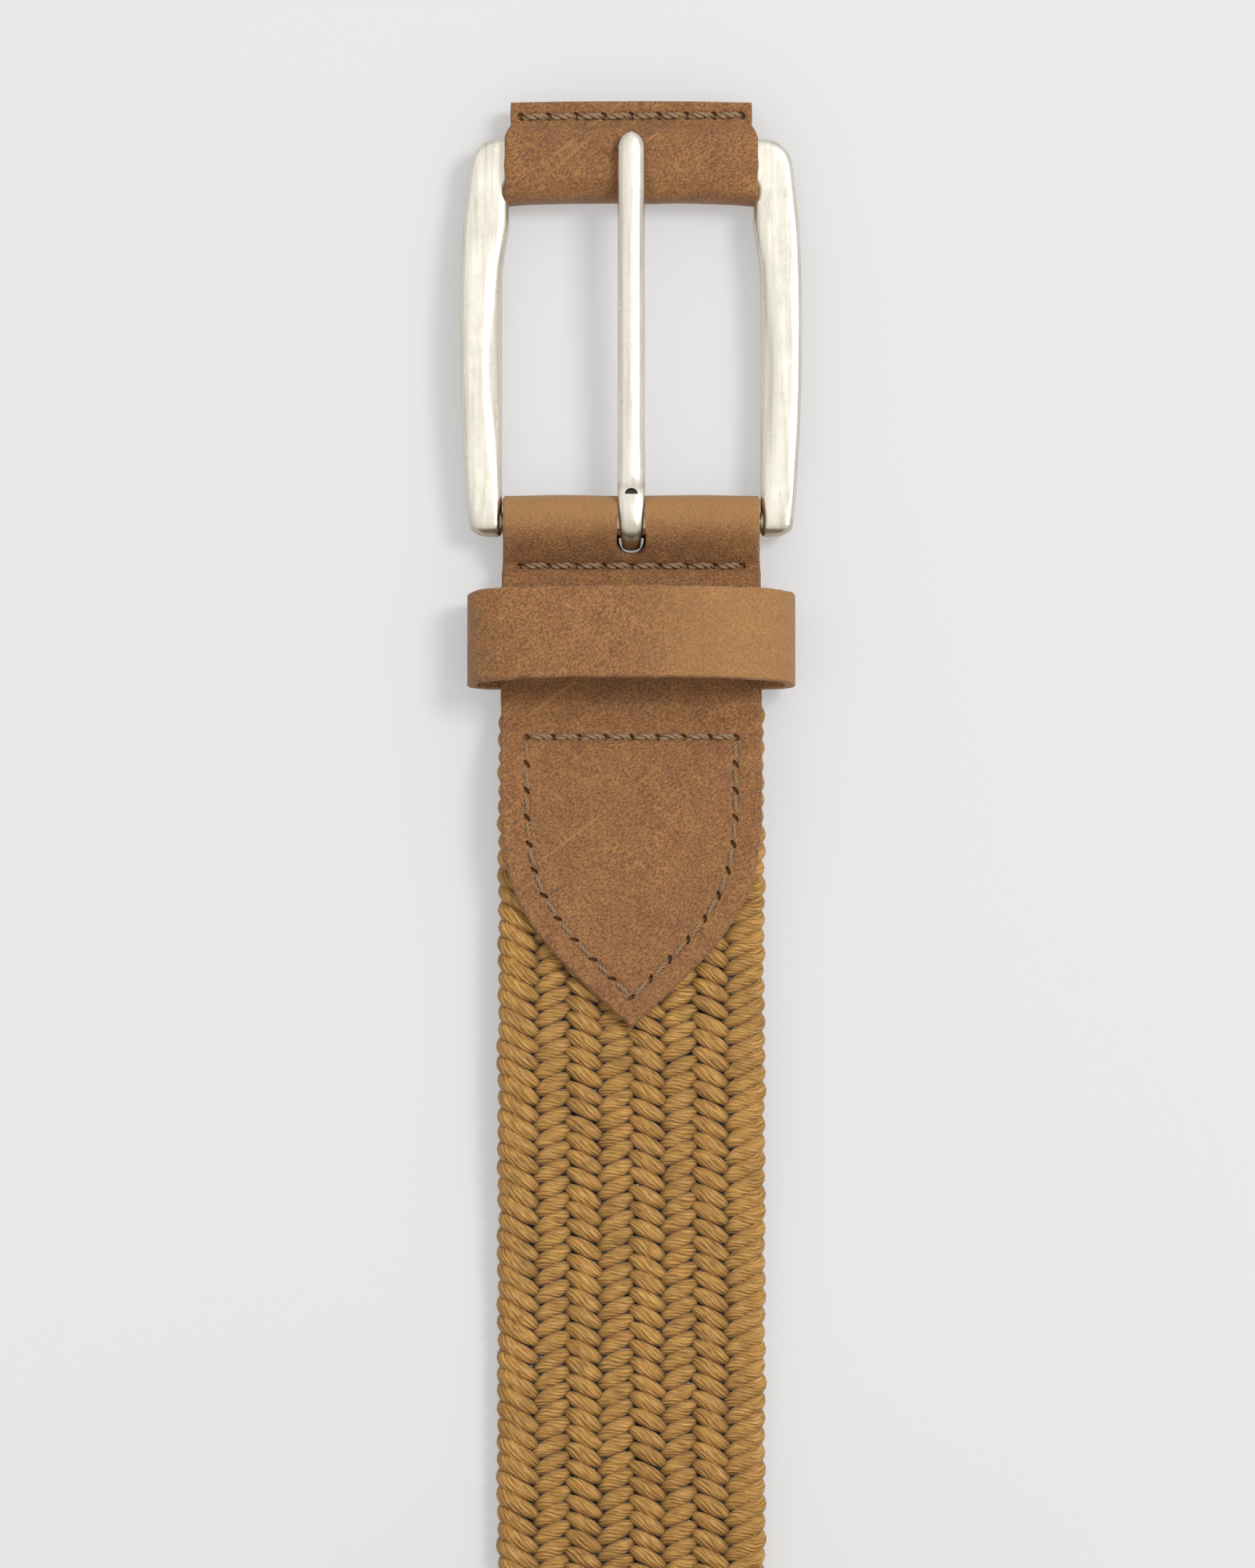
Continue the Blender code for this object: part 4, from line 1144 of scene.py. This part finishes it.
class BELT_OT_buckle(bpy.types.Operator):
    """Cast frame with its heel bar"""

    bl_idname = "belt.buckle"
    bl_label = "Buckle frame"

    def execute(self, context):
        # The section's outline, as shares from the outer to the inner edge and from the underside to the top, with the
        # inner bevel wide and then narrow
        outer, under = [(0.0, 0.50), (0.02, 0.90), (0.12, 1.0)], [(1.0, 0.38), (0.90, 0.0), (0.10, 0.0)]
        bevels = [(0.62, 1.0), (0.88, 0.76)], [(0.86, 1.0), (0.98, 0.84)]
        shape, square = (softened_ring(np.array(outer + bevel + under), 40, 7) for bevel in bevels)
        right = frame_edges()
        left = [(-ox, oy, -ix, iy) for ox, oy, ix, iy in reversed(right)]
        path = resampled(np.array(right + left), 0.0006, 0.0034)
        low, high = path[:, :2], path[:, 2:]
        # The bevel narrows where an arm meets the leather at either end.
        x, y = np.abs(high[:, 0]), high[:, 1]
        share = np.maximum(1 - smoothstep(0.002, 0.020, y), smoothstep(0.022, 0.039, y))
        share *= smoothstep(0.0140, 0.0158, x)
        shape = shape + (square - shape) * share[:, None, None]
        rings = low[:, None] + (high - low)[:, None] * shape[..., :1]
        z = frame_middle_z(rings[..., 1]) + FRAME_THICKNESS * (shape[..., 1] - 0.5)
        rings = np.concatenate([rings, z[..., None]], axis=2)
        # The arms' ends are rounded off.
        end_length = 0.001312
        share = np.linspace(0, 1, 8)
        drawn_in = np.sqrt(1 - share**2) * 0.93 + 0.07

        def end(ring, before):
            centre = ring.mean(axis=0)
            out = centre - before.mean(axis=0)
            # The inner edge stays straight, so the corner is rounded on the outside only.
            centre[0] = 0.3 * centre[0] + 0.7 * min(ring[:, 0], key=abs)
            out = unit(out)
            return [centre + (ring - centre) * k + out * end_length * s for k, s in zip(drawn_in[1:], share[1:])]

        rings = np.array(end(rings[0], rings[3])[::-1] + list(rings) + end(rings[-1], rings[-4]))
        frame_loop = tube("loop", rings)
        # The heel bar thins where it runs into the arms.
        ends = np.array([0.0166, 0.0170, 0.0176])
        reach = np.concatenate([-ends[::-1], np.linspace(-0.0163, 0.0163, 10), ends])
        bar = np.stack([reach, np.zeros(len(reach)), np.full(len(reach), HINGE_Z)], axis=1)
        radius = np.interp(np.abs(reach), [0.0163, 0.0170, 0.0176], [BAR_RADIUS - 2e-5, 0.0014, 0.0011])
        heel = tube("heel", round_rings(bar, radius, 32))
        made = join([frame_loop, heel], "buckle_frame")
        finished(made, "buckle", look("nickel"), "buckle_frame", smooth=60)
        return {"FINISHED"}


class BELT_OT_prong(bpy.types.Operator):
    """Prong with its strip round the heel bar"""

    bl_idname = "belt.prong"
    bl_label = "Prong"

    def execute(self, context):
        strip = 0.00135
        middle = BAR_RADIUS + BAR_GAP + strip / 2
        # Rows of y, z, width and thickness, from the strip's end under the bar to the tip
        rows = []
        for turn in np.radians(np.linspace(-55, -270, 22)):
            width = 0.0025 + 0.0007 * float(smoothstep(math.radians(-190), math.radians(-270), turn))
            rows.append((middle * math.cos(turn), HINGE_Z + middle * math.sin(turn), width, strip))
        top = HINGE_Z + middle
        rows += [(0.0022, top, 0.0035, strip), (0.0040, top + 0.00015, 0.0037, 0.0016)]
        rows += [(0.0052, 0.0072, 0.0037, 0.0024)]
        for y in (0.012, 0.020, 0.030, 0.040):
            rows.append((y, 0.0073 + 0.0013 * float(smoothstep(0.005, 0.042, y)), 0.0036, 0.0026))
        rows += [(0.0467, 0.0086, 0.0037, 0.0024), (0.0494, 0.0085, 0.0036, 0.0021)]
        path = resampled(rows, 0.0003, 0.0012)
        # The tip is rounded in plan and in thickness.
        share = np.linspace(0, 1, 14)[1:]
        k = np.sqrt(1 - (share * 0.995) ** 2)
        y, z, width, thickness = path[-1]
        tip = np.stack([y + 0.0023 * share, z - 0.0002 * share, width * k, thickness * (0.45 + 0.55 * k)], axis=1)
        path = np.concatenate([path, tip])
        run = unit(np.gradient(path[:, :2], axis=0))
        side = np.stack([-run[:, 1], run[:, 0]], axis=1)
        half = [(-1, -0.1), (-0.92, 0.45), (-0.58, 0.86), (-0.2, 1.0)]
        corners = half + [(-x, z) for x, z in reversed(half)] + [(0.86, -0.72), (0.5, -1), (-0.5, -1), (-0.86, -0.72)]
        shape = softened_ring(np.array(corners), 44, 7)
        rings = np.empty((len(path), len(shape), 3))
        rings[..., 0] = shape[None, :, 0] * path[:, 2:3] / 2
        rings[..., 1:] = path[:, None, :2] + side[:, None] * (shape[None, :, 1] * path[:, 3:4] / 2)[..., None]
        prong = tube("prong", rings)
        # A half-moon recess where the strip ends against the shank
        bm = bmesh.new()
        turn = np.linspace(0, math.pi, 17)
        moon = [(0.00090 * math.cos(a), 0.0033 + 0.00075 * math.sin(a)) for a in turn]
        prism(bm, moon, MOON_FLOOR, 0.0100)
        cut(prong, bm)
        finished(prong, "prong", look("nickel"), "prong", smooth=50)
        return {"FINISHED"}


PIECES = (BELT_OT_braid, BELT_OT_chape, BELT_OT_sleeve, BELT_OT_keeper, BELT_OT_tip, BELT_OT_buckle, BELT_OT_prong)


class BELT_PT_panel(bpy.types.Panel):
    bl_label = "Woven dress belt"
    bl_idname = "BELT_PT_panel"
    bl_space_type = "VIEW_3D"
    bl_region_type = "UI"
    bl_category = "Belt"

    def draw(self, context):
        for group in (context.scene.belt_sizes, context.scene.belt_colours):
            for name in group.bl_rna.properties.keys():
                if name not in ("rna_type", "name"):
                    self.layout.prop(group, name)
        for operator in (BELT_OT_stage, *PIECES):
            self.layout.operator(operator.bl_idname)


CLASSES = (BeltSizes, BeltColours, BELT_OT_stage, *PIECES, BELT_PT_panel)


def register():
    for item in CLASSES:
        bpy.utils.register_class(item)
    bpy.types.Scene.belt_sizes = bpy.props.PointerProperty(type=BeltSizes)
    bpy.types.Scene.belt_colours = bpy.props.PointerProperty(type=BeltColours)


def unregister():
    del bpy.types.Scene.belt_sizes
    del bpy.types.Scene.belt_colours
    for item in reversed(CLASSES):
        bpy.utils.unregister_class(item)


def main():
    register()
    bpy.ops.belt.stage()
    bpy.ops.belt.braid()
    bpy.ops.belt.chape()
    bpy.ops.belt.sleeve()
    bpy.ops.belt.keeper()
    bpy.ops.belt.tip()
    bpy.ops.belt.buckle()
    bpy.ops.belt.prong()


if __name__ == "__main__":
    main()
